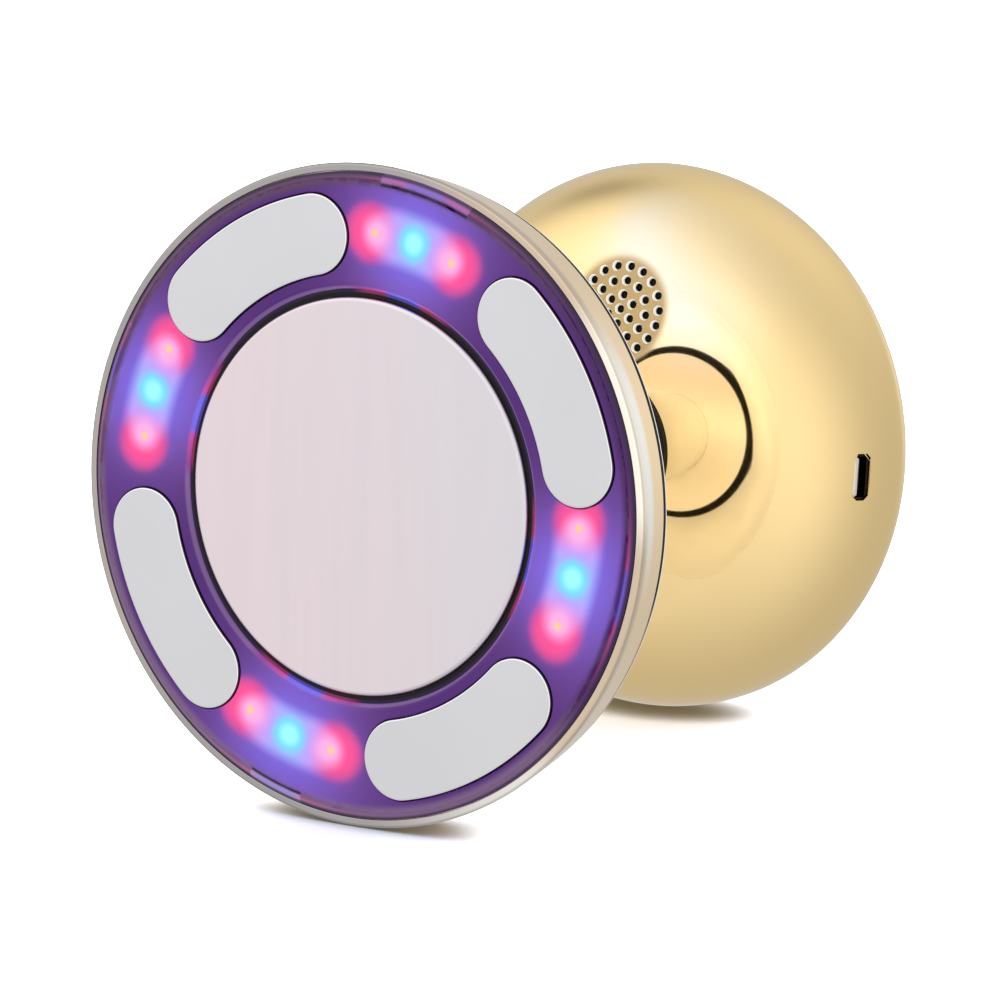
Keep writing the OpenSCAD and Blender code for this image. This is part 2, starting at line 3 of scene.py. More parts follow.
import bmesh
import bpy
import numpy as np
from mathutils import Matrix, Vector


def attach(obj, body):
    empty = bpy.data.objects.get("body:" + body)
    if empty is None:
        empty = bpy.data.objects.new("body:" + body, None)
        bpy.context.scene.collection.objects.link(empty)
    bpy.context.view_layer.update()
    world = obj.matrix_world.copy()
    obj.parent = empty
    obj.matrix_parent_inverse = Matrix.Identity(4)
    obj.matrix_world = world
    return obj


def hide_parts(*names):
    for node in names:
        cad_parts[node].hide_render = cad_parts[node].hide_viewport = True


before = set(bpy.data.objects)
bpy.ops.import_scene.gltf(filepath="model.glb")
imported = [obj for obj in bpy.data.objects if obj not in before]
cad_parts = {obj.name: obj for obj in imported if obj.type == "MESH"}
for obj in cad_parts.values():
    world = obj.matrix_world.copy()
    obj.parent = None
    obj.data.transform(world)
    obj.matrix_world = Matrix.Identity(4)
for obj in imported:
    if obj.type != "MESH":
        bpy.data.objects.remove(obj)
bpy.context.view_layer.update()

# Sizes in millimetres and degrees, as the solids have them. Levels are distances behind the treatment face along the
# device's axis, and angles go counter-clockwise from the right, seen from the front. The middle of the treatment
# face stands at SHIFT_Y and AXIS_Z in the frame.
MM = 0.001
SHIFT_Y, AXIS_Z = -46.0664, 45.9916
HEAD_R, HEAD_WAIST, RIM_DEPTH, RIM_BACK_R, RIM_INNER = 46.0, 1.45, 8.1, 44.4, 43.2
PLATE_R, GROOVE_R, PLATE_FLANGE = 27.6, 28.7, 0.7
PANEL_R, PANEL_H, BEVEL, BEVEL_DROP = 44.8, 1.6, 0.9, 0.45
BAR_RING, BAR_W, BAR_SPAN, BAR_PROUD, BAR_ANGLE = 36.5, 11.4, 52.6, 0.3, 29.8
LIGHT_RING, LIGHT_ANGLE = 36.3, 74.8
BOSS_R, BOSS_FOOT, BOSS_TOP, BOSS_RING_R = 19.4, 14.4, 22.8, 21.4
NECK_R, NECK_INNER, NECK_FLANGE_R, NECK_FOOT, NECK_END, COLLAR_R = 9.5, 7.9, 13, 18.4, 67.45, 12.2
GRIP_R, GRIP_WAIST, GRIP_BACK, SEAM_T = 40.5, 80.2, 14.2, 84.2
CAP_R, CAP_T, CAP_EDGE, SHOULDER_W, SHOULDER_H = 120.0, 60.7082, 25.3477, 20.0, 17.3
POLE_R, POLE_T = 12.4, 61.3506
SOUND_R, SOUND_ANGLE, SOUND_PITCH, SOUND_RINGS = 20.9, 82.3, 2.12, 3
HOLE_R, HOLE_MOUTH, PATCH_R = 0.56, 0.80, 3.5 * 2.12
SLOT_R, SLOT_ANGLE, SLOT_H, SLOT_W, SLOT_CORNER = 38.45, -2.4, 6.8, 2.5, 0.6
CONTROL_R, CONTROL_T, CONTROL_H = 16.8, 89.85, 3.4
KEY_R, KEY_HOLE_R, KEY_RING, KEY_TOP, LENS_HOLE_R = 3.7, 3.85, 9.2, 94.5288, 1.3
KEYS = {"power_button": 90, "mode_button": 270, "plus_button": 0, "minus_button": 180}

# The device lies on its rim and on its grip, so its axis is tilted
TILT = math.asin((HEAD_R - GRIP_R) / (GRIP_WAIST - HEAD_WAIST))
COS, SIN = math.cos(TILT), math.sin(TILT)

# Tolerances: in metres for points that become one and for edges that go, and in millimetres for front_normals
WELD, NO_EDGE = 2e-7, 1e-8
ON_SURFACE, EDGE_SHIFT = 0.004, 0.1


# ---- surfaces


def place(x, up, back):
    """Device axes (right, up, back along the axis), in mm, to the shared frame, in metres."""
    x, up, back = np.broadcast_arrays(x, up, back)
    return np.stack([x, SHIFT_Y + up * SIN + back * COS, AXIS_Z + up * COS - back * SIN], -1) * MM


def put(name, data):
    """A new object in the scene."""
    made = bpy.data.objects.new(name, data)
    bpy.context.scene.collection.objects.link(made)
    return made


def piece(name, sheets, finish, body="body", replaces=(), normals=None):
    """One object from several grids of points. Each sheet is (points, wrap rows, wrap columns, flip). Cells with
    a point that is not a number are left out."""
    points, quads, start = [], [], 0
    for grid, wrap_rows, wrap_columns, flip in sheets:
        rows, columns = grid.shape[:2]
        index = start + np.arange(rows * columns).reshape(rows, columns)
        if wrap_rows:
            index = np.vstack([index, index[:1]])
        if wrap_columns:
            index = np.hstack([index, index[:, :1]])
        quad = np.stack([index[:-1, :-1], index[1:, :-1], index[1:, 1:], index[:-1, 1:]], -1).reshape(-1, 4)
        quad = quad[np.isfinite(grid.reshape(-1, 3)[quad - start, 0]).all(1)]
        quads.append(quad[:, ::-1] if flip else quad)
        points.append(np.nan_to_num(grid.reshape(-1, 3)))
        start += rows * columns
    points, quads = np.vstack(points), np.vstack(quads)
    used, quads = np.unique(quads, return_inverse=True)
    mesh = bpy.data.meshes.new(name)
    mesh.from_pydata(points[used], [], quads.reshape(-1, 4))
    tidy = bmesh.new()
    tidy.from_mesh(mesh)
    bmesh.ops.remove_doubles(tidy, verts=tidy.verts, dist=WELD)
    bmesh.ops.dissolve_degenerate(tidy, dist=NO_EDGE, edges=tidy.edges)
    tidy.to_mesh(mesh)
    tidy.free()
    mesh.shade_smooth()
    if normals:
        mesh.normals_split_custom_set_from_vertices(normals(mesh))
    mesh.materials.append(finish)
    made = put(name, mesh)
    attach(made, body)
    if replaces:
        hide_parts(*replaces)


def rounded(corners, closed=True, steps=5):
    """Rounds an outline. Each corner is (a, b, radius): an arc takes its place, with a point close to each of its
    ends, which keeps flat sides flat when they are shaded."""
    p = np.array([c[:2] for c in corners], float)
    radius = [c[2] if len(c) > 2 else 0.0 for c in corners]
    n, out = len(p), []
    for i in range(n):
        if not closed and i in (0, n - 1):
            out.append(p[i])
            continue
        before, after = p[i - 1] - p[i], p[(i + 1) % n] - p[i]
        lb, la = np.linalg.norm(before), np.linalg.norm(after)
        before, after = before / lb, after / la
        half = math.acos(float(np.clip(before @ after, -1, 1))) / 2
        if half > math.radians(89.5):
            out.append(p[i])
            continue
        reach = min(max(radius[i], 0.02) / math.tan(half), 0.4 * lb, 0.4 * la)
        r = reach * math.tan(half)
        middle = p[i] + (before + after) / np.linalg.norm(before + after) * r / math.sin(half)
        first, last = p[i] + before * reach - middle, p[i] + after * reach - middle
        sweep = math.atan2(first[0] * last[1] - first[1] * last[0], first @ last)
        a = sweep * np.linspace(0, 1, (steps if r > 0.05 else 2) + 1)[:, None]
        arc = middle + np.cos(a) * first + np.sin(a) * np.array([-first[1], first[0]])
        near = min(0.04, 0.2 * r + 0.005)
        out += [p[i] + before * (reach + near), *arc, p[i] + after * (reach + near)]
    return np.array(out)


def turned(outline, columns=256, closed=True, centre=(0.0, 0.0)):
    """A lathe surface: every (r, t) point of the outline goes round the axis. Columns may be given as angles.
    The way round of the outline says which side is outside."""
    a = np.linspace(0, 2 * math.pi, columns, endpoint=False) if np.isscalar(columns) else columns
    r, t = outline[:, :1], outline[:, 1:2]
    grid = place(centre[0] + r * np.cos(a), centre[1] + r * np.sin(a), t + 0 * a)
    area = 0.5 * np.sum(outline[:, 0] * np.roll(outline[:, 1], -1) - np.roll(outline[:, 0], -1) * outline[:, 1])
    return grid, closed, True, bool(area < 0)


def turn(points, angle):
    """Points (x, up) turned counter-clockwise by an angle in degrees."""
    c, s = math.cos(math.radians(angle)), math.sin(math.radians(angle))
    return np.stack([points[..., 0] * c - points[..., 1] * s, points[..., 0] * s + points[..., 1] * c], -1)


def spun(rows, angle=0.0):
    """Rows of (points, depth), turned about the axis by an angle, as grids of x, up and depth."""
    flat = np.stack([turn(p, angle) for p, _ in rows])
    return flat[..., 0], flat[..., 1], np.array([d for _, d in rows])[:, None] + 0 * flat[..., 0]


def bar_rays(span, ring, width, samples=40, corners=()):
    """Points (x, up) and outward directions round the middle line of a curved bar with round ends, for an arc
    of a ring and a width, counter-clockwise. Rays toward the corners are added at both ends."""
    half = math.radians(span / 2) - math.asin(width / 2 / ring)
    s = np.linspace(-half, half, samples, endpoint=False)
    outer = np.stack([ring * np.cos(s), ring * np.sin(s), np.cos(s), np.sin(s)], -1)
    inner = np.stack([ring * np.cos(-s), ring * np.sin(-s), -np.cos(-s), -np.sin(-s)], -1)
    end = np.array([ring * math.cos(half), ring * math.sin(half)])
    toward = [math.atan2(c[1] - end[1], c[0] - end[0]) - half for c in corners]
    e = np.sort(np.concatenate([np.linspace(0, math.pi, samples // 2 + 1)[1:-1], toward]))
    far, near = half + np.append(0, e), half + np.append(e, math.pi)[::-1]
    far = np.stack([end[0] + 0 * far, end[1] + 0 * far, np.cos(far), np.sin(far)], -1)
    near = np.stack([end[0] + 0 * near, -end[1] + 0 * near, np.cos(near), -np.sin(near)], -1)
    return np.vstack([outer, far, inner, near])


def bar_solid(angle, ring, width, span, section, samples=40):
    """A curved bar with round ends: section rows are (distance outward from the middle line, t)."""
    rays = bar_rays(span, ring, width, samples)
    return place(*spun([(rays[:, :2] + rays[:, 2:] * d, t) for d, t in section], angle)), False, True, True


def sector_reach(middle, out, low, high, half):
    """How far rays go from inside a sector of a ring, centred on angle 0, to its border: the nearest of the
    outer circle, the inner circle and the two straight sides. A half angle of 180 degrees has no sides."""
    along, square = np.sum(middle * out, -1), np.sum(middle * middle, -1)
    reach = -along + np.sqrt(np.maximum(along ** 2 - square + high ** 2, 0))
    root = along ** 2 - square + low ** 2
    hit = -along - np.sqrt(np.maximum(root, 0))
    reach = np.where((root > -1e-9) & (hit > 1e-6), np.minimum(reach, hit), reach)
    if half < math.pi:
        for sign in (1, -1):
            normal = np.array([-math.sin(half), sign * math.cos(half)])
            speed = out @ normal
            hit = -(middle @ normal) / np.where(speed > 1e-9, speed, 1e-9)
            reach = np.where((speed > 1e-9) & (hit > 1e-6), np.minimum(reach, hit), reach)
    return reach


def sector_corners(low, high, half):
    """The corners of a sector of a ring on its upper side."""
    return [(r * math.cos(half), r * math.sin(half)) for r in (low, high) if r > 0]


def hole_rows(middle, out, reach, section, spread):
    """Rows of points from a hole's wall to the border of its cell: (points, depth). Section rows are (distance
    from the middle, depth); spread gives the shares of the way from the last of them to the border."""
    last = section[-1][0]
    rows = [(middle + out * s, d) for s, d in section]
    return rows + [(middle + out * (last * (1 - k) + reach[:, None] * k), 0.0) for k in spread]


def circle_cell(ring, low, high, half, section, spread, samples=48):
    """Rows of points round a round hole at distance ring in a sector of a ring."""
    middle = np.array([ring, 0.0])
    a = np.linspace(0, 2 * math.pi, samples, endpoint=False)
    if half < math.pi:
        corners = [(x, side * y) for x, y in sector_corners(low, high, half) for side in (-1, 1)]
        a = np.sort(np.concatenate([a, [math.atan2(y, x - ring) % (2 * math.pi) for x, y in corners]]))
    out = np.stack([np.cos(a), np.sin(a)], -1)
    return hole_rows(middle, out, sector_reach(middle + 0 * out, out, low, high, half), section, spread)


def border_angles(grids, radius):
    """Sorted angles of the last rows' points that lie on a circle, so that a lathe surface can meet them."""
    last = np.vstack(grids)
    on = last[np.abs(np.hypot(last[:, 0], last[:, 1]) - radius) < 1e-6]
    a = np.sort(np.arctan2(on[:, 1], on[:, 0]))
    return a[np.append(True, np.diff(a) > 1e-7)]


def cap_sheet(outline, angles):
    """An open lathe surface whose outline runs away from the axis in front, with its columns at given angles."""
    return turned(outline, angles)[0], False, True, False


# ---- grip surface


def front_t(r):
    """Level of the grip's front at a radius: a shallow spherical cap, then a quarter ellipse to the widest ring."""
    cap = CAP_T + CAP_R - np.sqrt(CAP_R ** 2 - np.minimum(r, CAP_EDGE) ** 2)
    across = (np.clip(r, CAP_EDGE, GRIP_R) - GRIP_R + SHOULDER_W) / SHOULDER_W
    return np.where(r < CAP_EDGE, cap, GRIP_WAIST - SHOULDER_H * np.sqrt(np.maximum(0, 1 - across ** 2)))


def front_slope(r):
    """How fast the front falls back at a radius."""
    r = np.minimum(r, GRIP_R - 1e-4)
    a = np.arcsin(np.clip((r - GRIP_R + SHOULDER_W) / SHOULDER_W, 0, 1))
    cap = r / np.sqrt(CAP_R ** 2 - np.minimum(r, CAP_EDGE) ** 2)
    return np.where(r < CAP_EDGE, cap, SHOULDER_H / SHOULDER_W * np.tan(a))


def back_t(r):
    """Level of the grip's back at a radius: half an ellipse."""
    return GRIP_WAIST + GRIP_BACK * np.sqrt(np.maximum(0, 1 - (r / GRIP_R) ** 2))


class Seat:
    """A place on the grip's front: its centre and its axes downhill, sideways and out of the surface."""

    def __init__(self, radius, angle):
        c, s = math.cos(math.radians(angle)), math.sin(math.radians(angle))
        lean = math.atan(float(front_slope(radius)))
        self.centre = np.array([radius * c, radius * s, float(front_t(radius))])
        self.out = np.array([math.sin(lean) * c, math.sin(lean) * s, -math.cos(lean)])
        self.down = np.array([math.cos(lean) * c, math.cos(lean) * s, math.sin(lean)])
        self.side = np.cross(self.out, self.down)

    def device(self, a, b, depth=0.0):
        """Tangent coordinates dropped along the seat's axis onto the surface by Newton's rule, then a depth in."""
        p = self.centre + a[..., None] * self.down + b[..., None] * self.side
        for _ in range(8):
            r = np.hypot(p[..., 0], p[..., 1])
            away = (self.out[0] * p[..., 0] + self.out[1] * p[..., 1]) / r
            miss = p[..., 2] - front_t(r)
            p = p - self.out * (miss / (self.out[2] - front_slope(r) * away))[..., None]
        return p - self.out * np.broadcast_to(depth, p.shape[:-1])[..., None]

    def place(self, a, b, depth=0.0):
        return place(*np.moveaxis(self.device(a, b, depth), -1, 0))


SOUND_SEAT, SLOT_SEAT = Seat(SOUND_R, SOUND_ANGLE), Seat(SLOT_R, SLOT_ANGLE)


def front_normals(mesh):
    """The exact outward normal at each point of the front's own surface, and none elsewhere."""
    co = np.empty(len(mesh.vertices) * 3, np.float32)
    mesh.vertices.foreach_get("co", co)
    co = co.reshape(-1, 3).astype(float) / MM
    y, z = co[:, 1] - SHIFT_Y, co[:, 2] - AXIS_Z
    x, up, t = co[:, 0], y * SIN + z * COS, y * COS - z * SIN
    r = np.maximum(np.hypot(x, up), 1e-6)
    ahead = (np.abs(t - front_t(r)) < ON_SURFACE) & (r > POLE_R + EDGE_SHIFT) & (t < GRIP_WAIST)
    behind = (np.abs(t - back_t(r)) < ON_SURFACE) & (t >= GRIP_WAIST) & (t < SEAM_T - 2 * EDGE_SHIFT)
    slope = front_slope(r)
    radial = np.where(ahead, slope, r / GRIP_R ** 2)
    axial = np.where(ahead, -1.0, (t - GRIP_WAIST) / GRIP_BACK ** 2)
    n = np.stack([radial * x / r, radial * up / r, axial], -1)
    n /= np.linalg.norm(n, axis=1)[:, None]
    n = np.stack([n[:, 0], n[:, 1] * SIN + n[:, 2] * COS, n[:, 1] * COS - n[:, 2] * SIN], -1)
    return np.where((ahead | behind)[:, None], n, 0.0)


# ---- materials


class Wire:
    """A value in a node tree. Arithmetic on it adds Math nodes."""

    def __init__(self, finish, node, socket):
        self.finish, self.node, self.socket = finish, node, socket

    def out(self, name):
        return Wire(self.finish, self.node, self.node.outputs[name])

    def math(self, operation, *values):
        return self.finish.add("Math", {"operation": operation}, dict(enumerate(values)))

    def __add__(self, other): return self.math("ADD", self, other)
    __radd__ = __add__
    def __sub__(self, other): return self.math("SUBTRACT", self, other)
    def __rsub__(self, other): return self.math("SUBTRACT", other, self)
    def __mul__(self, other): return self.math("MULTIPLY", self, other)
    __rmul__ = __mul__
    def __truediv__(self, other): return self.math("DIVIDE", self, other)
    def __pow__(self, other): return self.math("POWER", self, other)
    def __abs__(self): return self.math("ABSOLUTE", self)

    def rise(self, low, high):
        """0 below low and 1 above high, with a smooth step between them; low may be the greater."""
        return self.finish.add("MapRange", {"interpolation_type": "SMOOTHSTEP"},
                               {"Value": self, "From Min": low, "From Max": high})

    def bell(self, middle, width):
        """1 at the middle, falling to about a third at the width on either side."""
        off = self - middle
        return self.math("EXPONENT", off * off * (-1 / width ** 2))


class Finish:
    """A material or surround, with one method that makes any node."""

    def __init__(self, name, block=None):
        self.material = block or bpy.data.materials.new(name)
        self.material.use_nodes = True
        self.tree = self.material.node_tree
        self.tree.nodes.clear()

    def add(self, kind, settings=None, sockets=None):
        node = self.tree.nodes.new("ShaderNode" + kind)
        for key, value in (settings or {}).items():
            setattr(node, key, value)
        for key, value in (sockets or {}).items():
            socket = node.inputs[key]
            if isinstance(value, Wire):
                self.tree.links.new(value.socket, socket)
            elif socket.type == "RGBA":
                socket.default_value = (*value, 1.0)
            else:
                socket.default_value = value
        return Wire(self, node, next((o for o in node.outputs if o.enabled), None))

    def mix(self, factor, first, second):
        """Colour first where factor is 0 and second where it is 1."""
        node = self.add("Mix", {"data_type": "RGBA"}, {0: factor, 6: first, 7: second})
        return Wire(self, node.node, node.node.outputs[2])

    def blend(self, factor, first, second):
        """Shader first where factor is 0 and second where it is 1."""
        return self.add("MixShader", None, {0: factor, 1: first, 2: second})

    def place(self):
        return self.add("TexCoord").out("Object")

    def noise(self, scale, detail=3.0, rough=0.5, stretch=None):
        at = self.place()
        if stretch:
            at = self.add("Mapping", None, {"Vector": at, "Scale": stretch})
        return self.add("TexNoise", None,
                        {"Vector": at, "Scale": scale, "Detail": detail, "Roughness": rough})

    def device(self):
        """Right, up and back along the axis, in millimetres, on any piece."""
        xyz = self.add("SeparateXYZ", None, {0: self.place()})
        y = xyz.out("Y") * (1 / MM) - SHIFT_Y
        z = xyz.out("Z") * (1 / MM) - AXIS_Z
        return xyz.out("X") * (1 / MM), y * SIN + z * COS, y * COS - z * SIN

    def distance(self, *gaps):
        """Length of a vector whose parts are given."""
        total = gaps[0] * gaps[0]
        for gap in gaps[1:]:
            total = total + gap * gap
        return total ** 0.5

    def bump(self, height, distance, strength=1.0):
        return self.add("Bump", None, {"Height": height, "Distance": distance, "Strength": strength})

    def surface(self, **sockets):
        names = {k.replace("_", " ").title().replace("Ior", "IOR"): v for k, v in sockets.items()}
        shader = self.add("BsdfPrincipled", None, names)
        self.add("OutputMaterial", None, {"Surface": shader})
        return self.material


def srgb(red, green, blue):
    """A screen colour, 0 to 255, as light."""
    return tuple(((v / 255 + 0.055) / 1.055) ** 2.4 if v > 10 else v / 255 / 12.92 for v in (red, green, blue))


def shade(colour, *parts):
    """A colour with each part multiplied, by one number or by three."""
    parts = parts * 3 if len(parts) == 1 else parts
    return tuple(min(1.0, c * k) for c, k in zip(colour, parts))


GOLD_COLOUR, RUBBER = (0.965, 0.723, 0.352), srgb(17, 13, 11)


def plated_gold():
    """Polished gold plating: handling marks and hairlines in the roughness, a slow drift of tone, a slightly wavy
    skin, a painted highlight that pales the colour across the upper front, and a duller, darker field round the
    sound holes."""
    f = Finish("grip_gold")
    smudge = f.noise(38, 4, 0.55).rise(0.45, 0.75)
    hairline = f.noise(160, 3, 0.7, stretch=(1.0, 14.0, 1.0)).rise(0.62, 0.72)
    base = f.mix(f.noise(22, 3, 0.5).rise(0.35, 0.75) * 0.5, GOLD_COLOUR, shade(GOLD_COLOUR, 0.98, 0.955, 0.9))
    x, up, t = f.device()
    # The painted highlight runs down to the right from a point above the neck
    right, above = x - 4, up - 31
    across, along = right * 0.733 + above * 0.68, right * 0.68 - above * 0.733
    painted_highlight = across.bell(0.0, 5.0) * 0.62 + across.bell(0.0, 13.0) * 0.33
    painted_highlight = painted_highlight * along.rise(-9.0, 0.0) * along.rise(30.0, 12.0)
    base = f.mix(painted_highlight * t.rise(74.0, 70.0), base, shade(GOLD_COLOUR, 0.85, 1.05, 1.79))
    c = SOUND_SEAT.centre
    field = f.distance(x - c[0], up - c[1], t - c[2]).rise(8.6, 6.9)
    base = f.mix(field * 0.9, base, shade(GOLD_COLOUR, 0.44, 0.39, 0.31))
    roughness = 0.03 + smudge * 0.02 + f.noise(900, 2, 0.6) * 0.01 + hairline * 0.02 + field * 0.2
    return f.surface(base_color=base, metallic=1.0, roughness=roughness,
                     normal=f.bump(f.noise(55, 2, 0.4), 0.000008, 0.3))


def rim_plating():
    """The head's rim: a lip whose tone round the ring is painted reflection and shade, from smoky grey at the left to
    cream at the right, with champagne above and below, a champagne side wall with a painted highlight as a cream
    band at the right front, and fine turning lines."""
    f = Finish("rim_plating")
    x, up, t = f.device()
    side = t.rise(1.2, 2.6)
    drift = f.noise(30, 3, 0.5)
    # The lip's tone by place round the ring is painted reflection and shade
    lip = f.mix(up.rise(4.0, -5.0), (0.97, 0.91, 0.79), (0.62, 0.50, 0.37))
    lip = f.mix(up.rise(22.0, 32.0), lip, (0.60, 0.48, 0.36))
    lip = f.mix(up.rise(-29.0, -36.0), lip, (0.80, 0.77, 0.73))
    lip = f.mix(x.rise(2.0, 28.0), (0.36, 0.345, 0.345), lip)
    # The cream band at the right front of the wall is a painted highlight
    wall_with_painted_highlight = f.mix(x.rise(35.0, 42.0) * up.rise(-12.0, 2.0) * t.rise(4.8, 3.4), (1.0, 0.76, 0.46), (1.0, 0.98, 0.90))
    base = f.mix(side, lip, wall_with_painted_highlight)
    base = f.mix(drift.rise(0.3, 0.7) * 0.15, base, (0.90, 0.70, 0.46))
    lines = f.add("TexNoise", {"noise_dimensions": "1D"},
                  {"W": t * 9.0, "Scale": 1.0, "Detail": 4.0, "Roughness": 0.7})
    return f.surface(base_color=base, metallic=1.0, roughness=0.06 + lines * 0.04 + drift * 0.02,
                     normal=f.bump(lines, 0.000003, 0.2))


def satin_steel():
    """Fine brushed stainless steel: long upright streaks in tone, roughness and height, and a faint pink blush toward
    the left, which is a painted reflection.
    """
    f = Finish("treatment_plate_steel")
    colour, reflected_pink = srgb(216, 214, 218), srgb(228, 213, 218)
    streaks = f.noise(1.0, 4, 0.65, stretch=(420.0, 420.0, 6.0))
    broad = f.noise(1.0, 2, 0.5, stretch=(90.0, 90.0, 3.0))
    x, up, _ = f.device()
    # A painted reflection: a pink blush that grows toward the left and a little toward the bottom, in broad patches
    reflection_share = (x * -0.012 + up * -0.002 + 0.5 + broad * 0.25).rise(0.05, 0.9)
    base = f.mix(reflection_share, colour, reflected_pink)
    base = f.mix(streaks.rise(0.3, 0.7) * 0.10, base, shade(colour, 0.86))
    return f.surface(base_color=base, metallic=1.0, roughness=0.2 + streaks * 0.07,
                     normal=f.bump(streaks, 0.000004, 0.25))


def polished_steel(name, colour, rough=0.12, outline=None):
    """Polished metal, with a little cloudiness and hairline scratches. Behind the level of an outline it is dark,
    which is painted shade, with a white line in front of the dark, which is a painted highlight."""
    f = Finish(name)
    cloud = f.noise(60, 3, 0.5)
    hair = f.noise(220, 3, 0.6, stretch=(1.0, 1.0, 10.0)).rise(0.6, 0.75)
    base = f.mix(cloud.rise(0.3, 0.7) * 0.5, colour, shade(colour, 0.95))
    if outline is not None:
        t = f.device()[2]
        # A painted highlight as a white line, then painted shade behind the outline's level
        base = f.mix(t.rise(outline - 0.045, outline - 0.025), base, (0.97, 0.97, 0.97))
        base = f.mix(t.rise(outline - 0.01, outline + 0.03), base, (0.07, 0.06, 0.07))
    return f.surface(base_color=base, metallic=1.0, roughness=rough + cloud * 0.05 + hair * 0.05,
                     normal=f.bump(cloud, 0.000008, 0.3))


def moulded(name, colour, rough=0.35, grain=0.25, coat=0.0, gloss=0.5, glow=0.0, fade=None):
    """Moulded plastic, rubber or lacquer: cloudy tone, fine grain in the height, rubbed patches in the roughness.
    A fade is (0 for the distance from the axis or 1 for up, from, to, tone): the colour goes over to the tone, which
    here always shapes painted shade. A glow makes the colour shine of itself, which here is a painted highlight."""
    f = Finish(name)
    cloud = f.noise(45, 3, 0.55)
    base = f.mix(cloud.rise(0.3, 0.7), shade(colour, 0.92), shade(colour, 1.05))
    if fade:
        x, up, _ = f.device()
        base = f.mix((up if fade[0] else f.distance(x, up)).rise(fade[1], fade[2]), base, fade[3])
    return f.surface(base_color=base, roughness=rough + cloud * 0.08 - 0.04, coat_weight=coat, coat_roughness=0.06,
                     specular_ior_level=gloss, emission_color=colour, emission_strength=glow,
                     normal=f.bump(f.noise(1400, 2, 0.5), 0.00001, grain))


# The light pattern in the panel: the lamps' middle line, half the window's length and the way to a red chip
LAMP_RING, WINDOW_HALF, RED_CHIP = 36.28, 7.7, 6.85


def from_group(f, x, up, r):
    """Distance along the ring from the middle of the nearest group of lights. The thick panel shifts what the
    camera sees of them by some degrees."""
    angle = up.math("ARCTAN2", up, x) * (180 / math.pi)
    shifted = angle - (x * 3.6 + up * 0.84) / r - LIGHT_ANGLE + 45
    near = shifted.math("FLOORED_MODULO", shifted, 90.0) - 45
    return abs(near * (math.pi / 180 * LIGHT_RING))


def groove_seal():
    """Black seal in the groove round the plate, whose black also stands in for the groove's shade. The panel's light
    on its outer part is painted in as a glow.
    """
    f = Finish("groove_seal")
    x, up, _ = f.device()
    r = f.distance(x, up)
    side = from_group(f, x, up, r)
    outer = r.rise(GROOVE_R - 0.6, GROOVE_R - 0.35)
    glow = f.mix(side.rise(3.0, 5.0), srgb(84, 70, 176), srgb(150, 44, 92))
    tone = f.mix(side.rise(12.0, 8.0), srgb(38, 20, 60), glow)
    return f.surface(base_color=RUBBER, roughness=0.5, specular_ior_level=0.2,
                     emission_color=f.mix(outer, (0.0, 0.0, 0.0), tone), emission_strength=0.8)


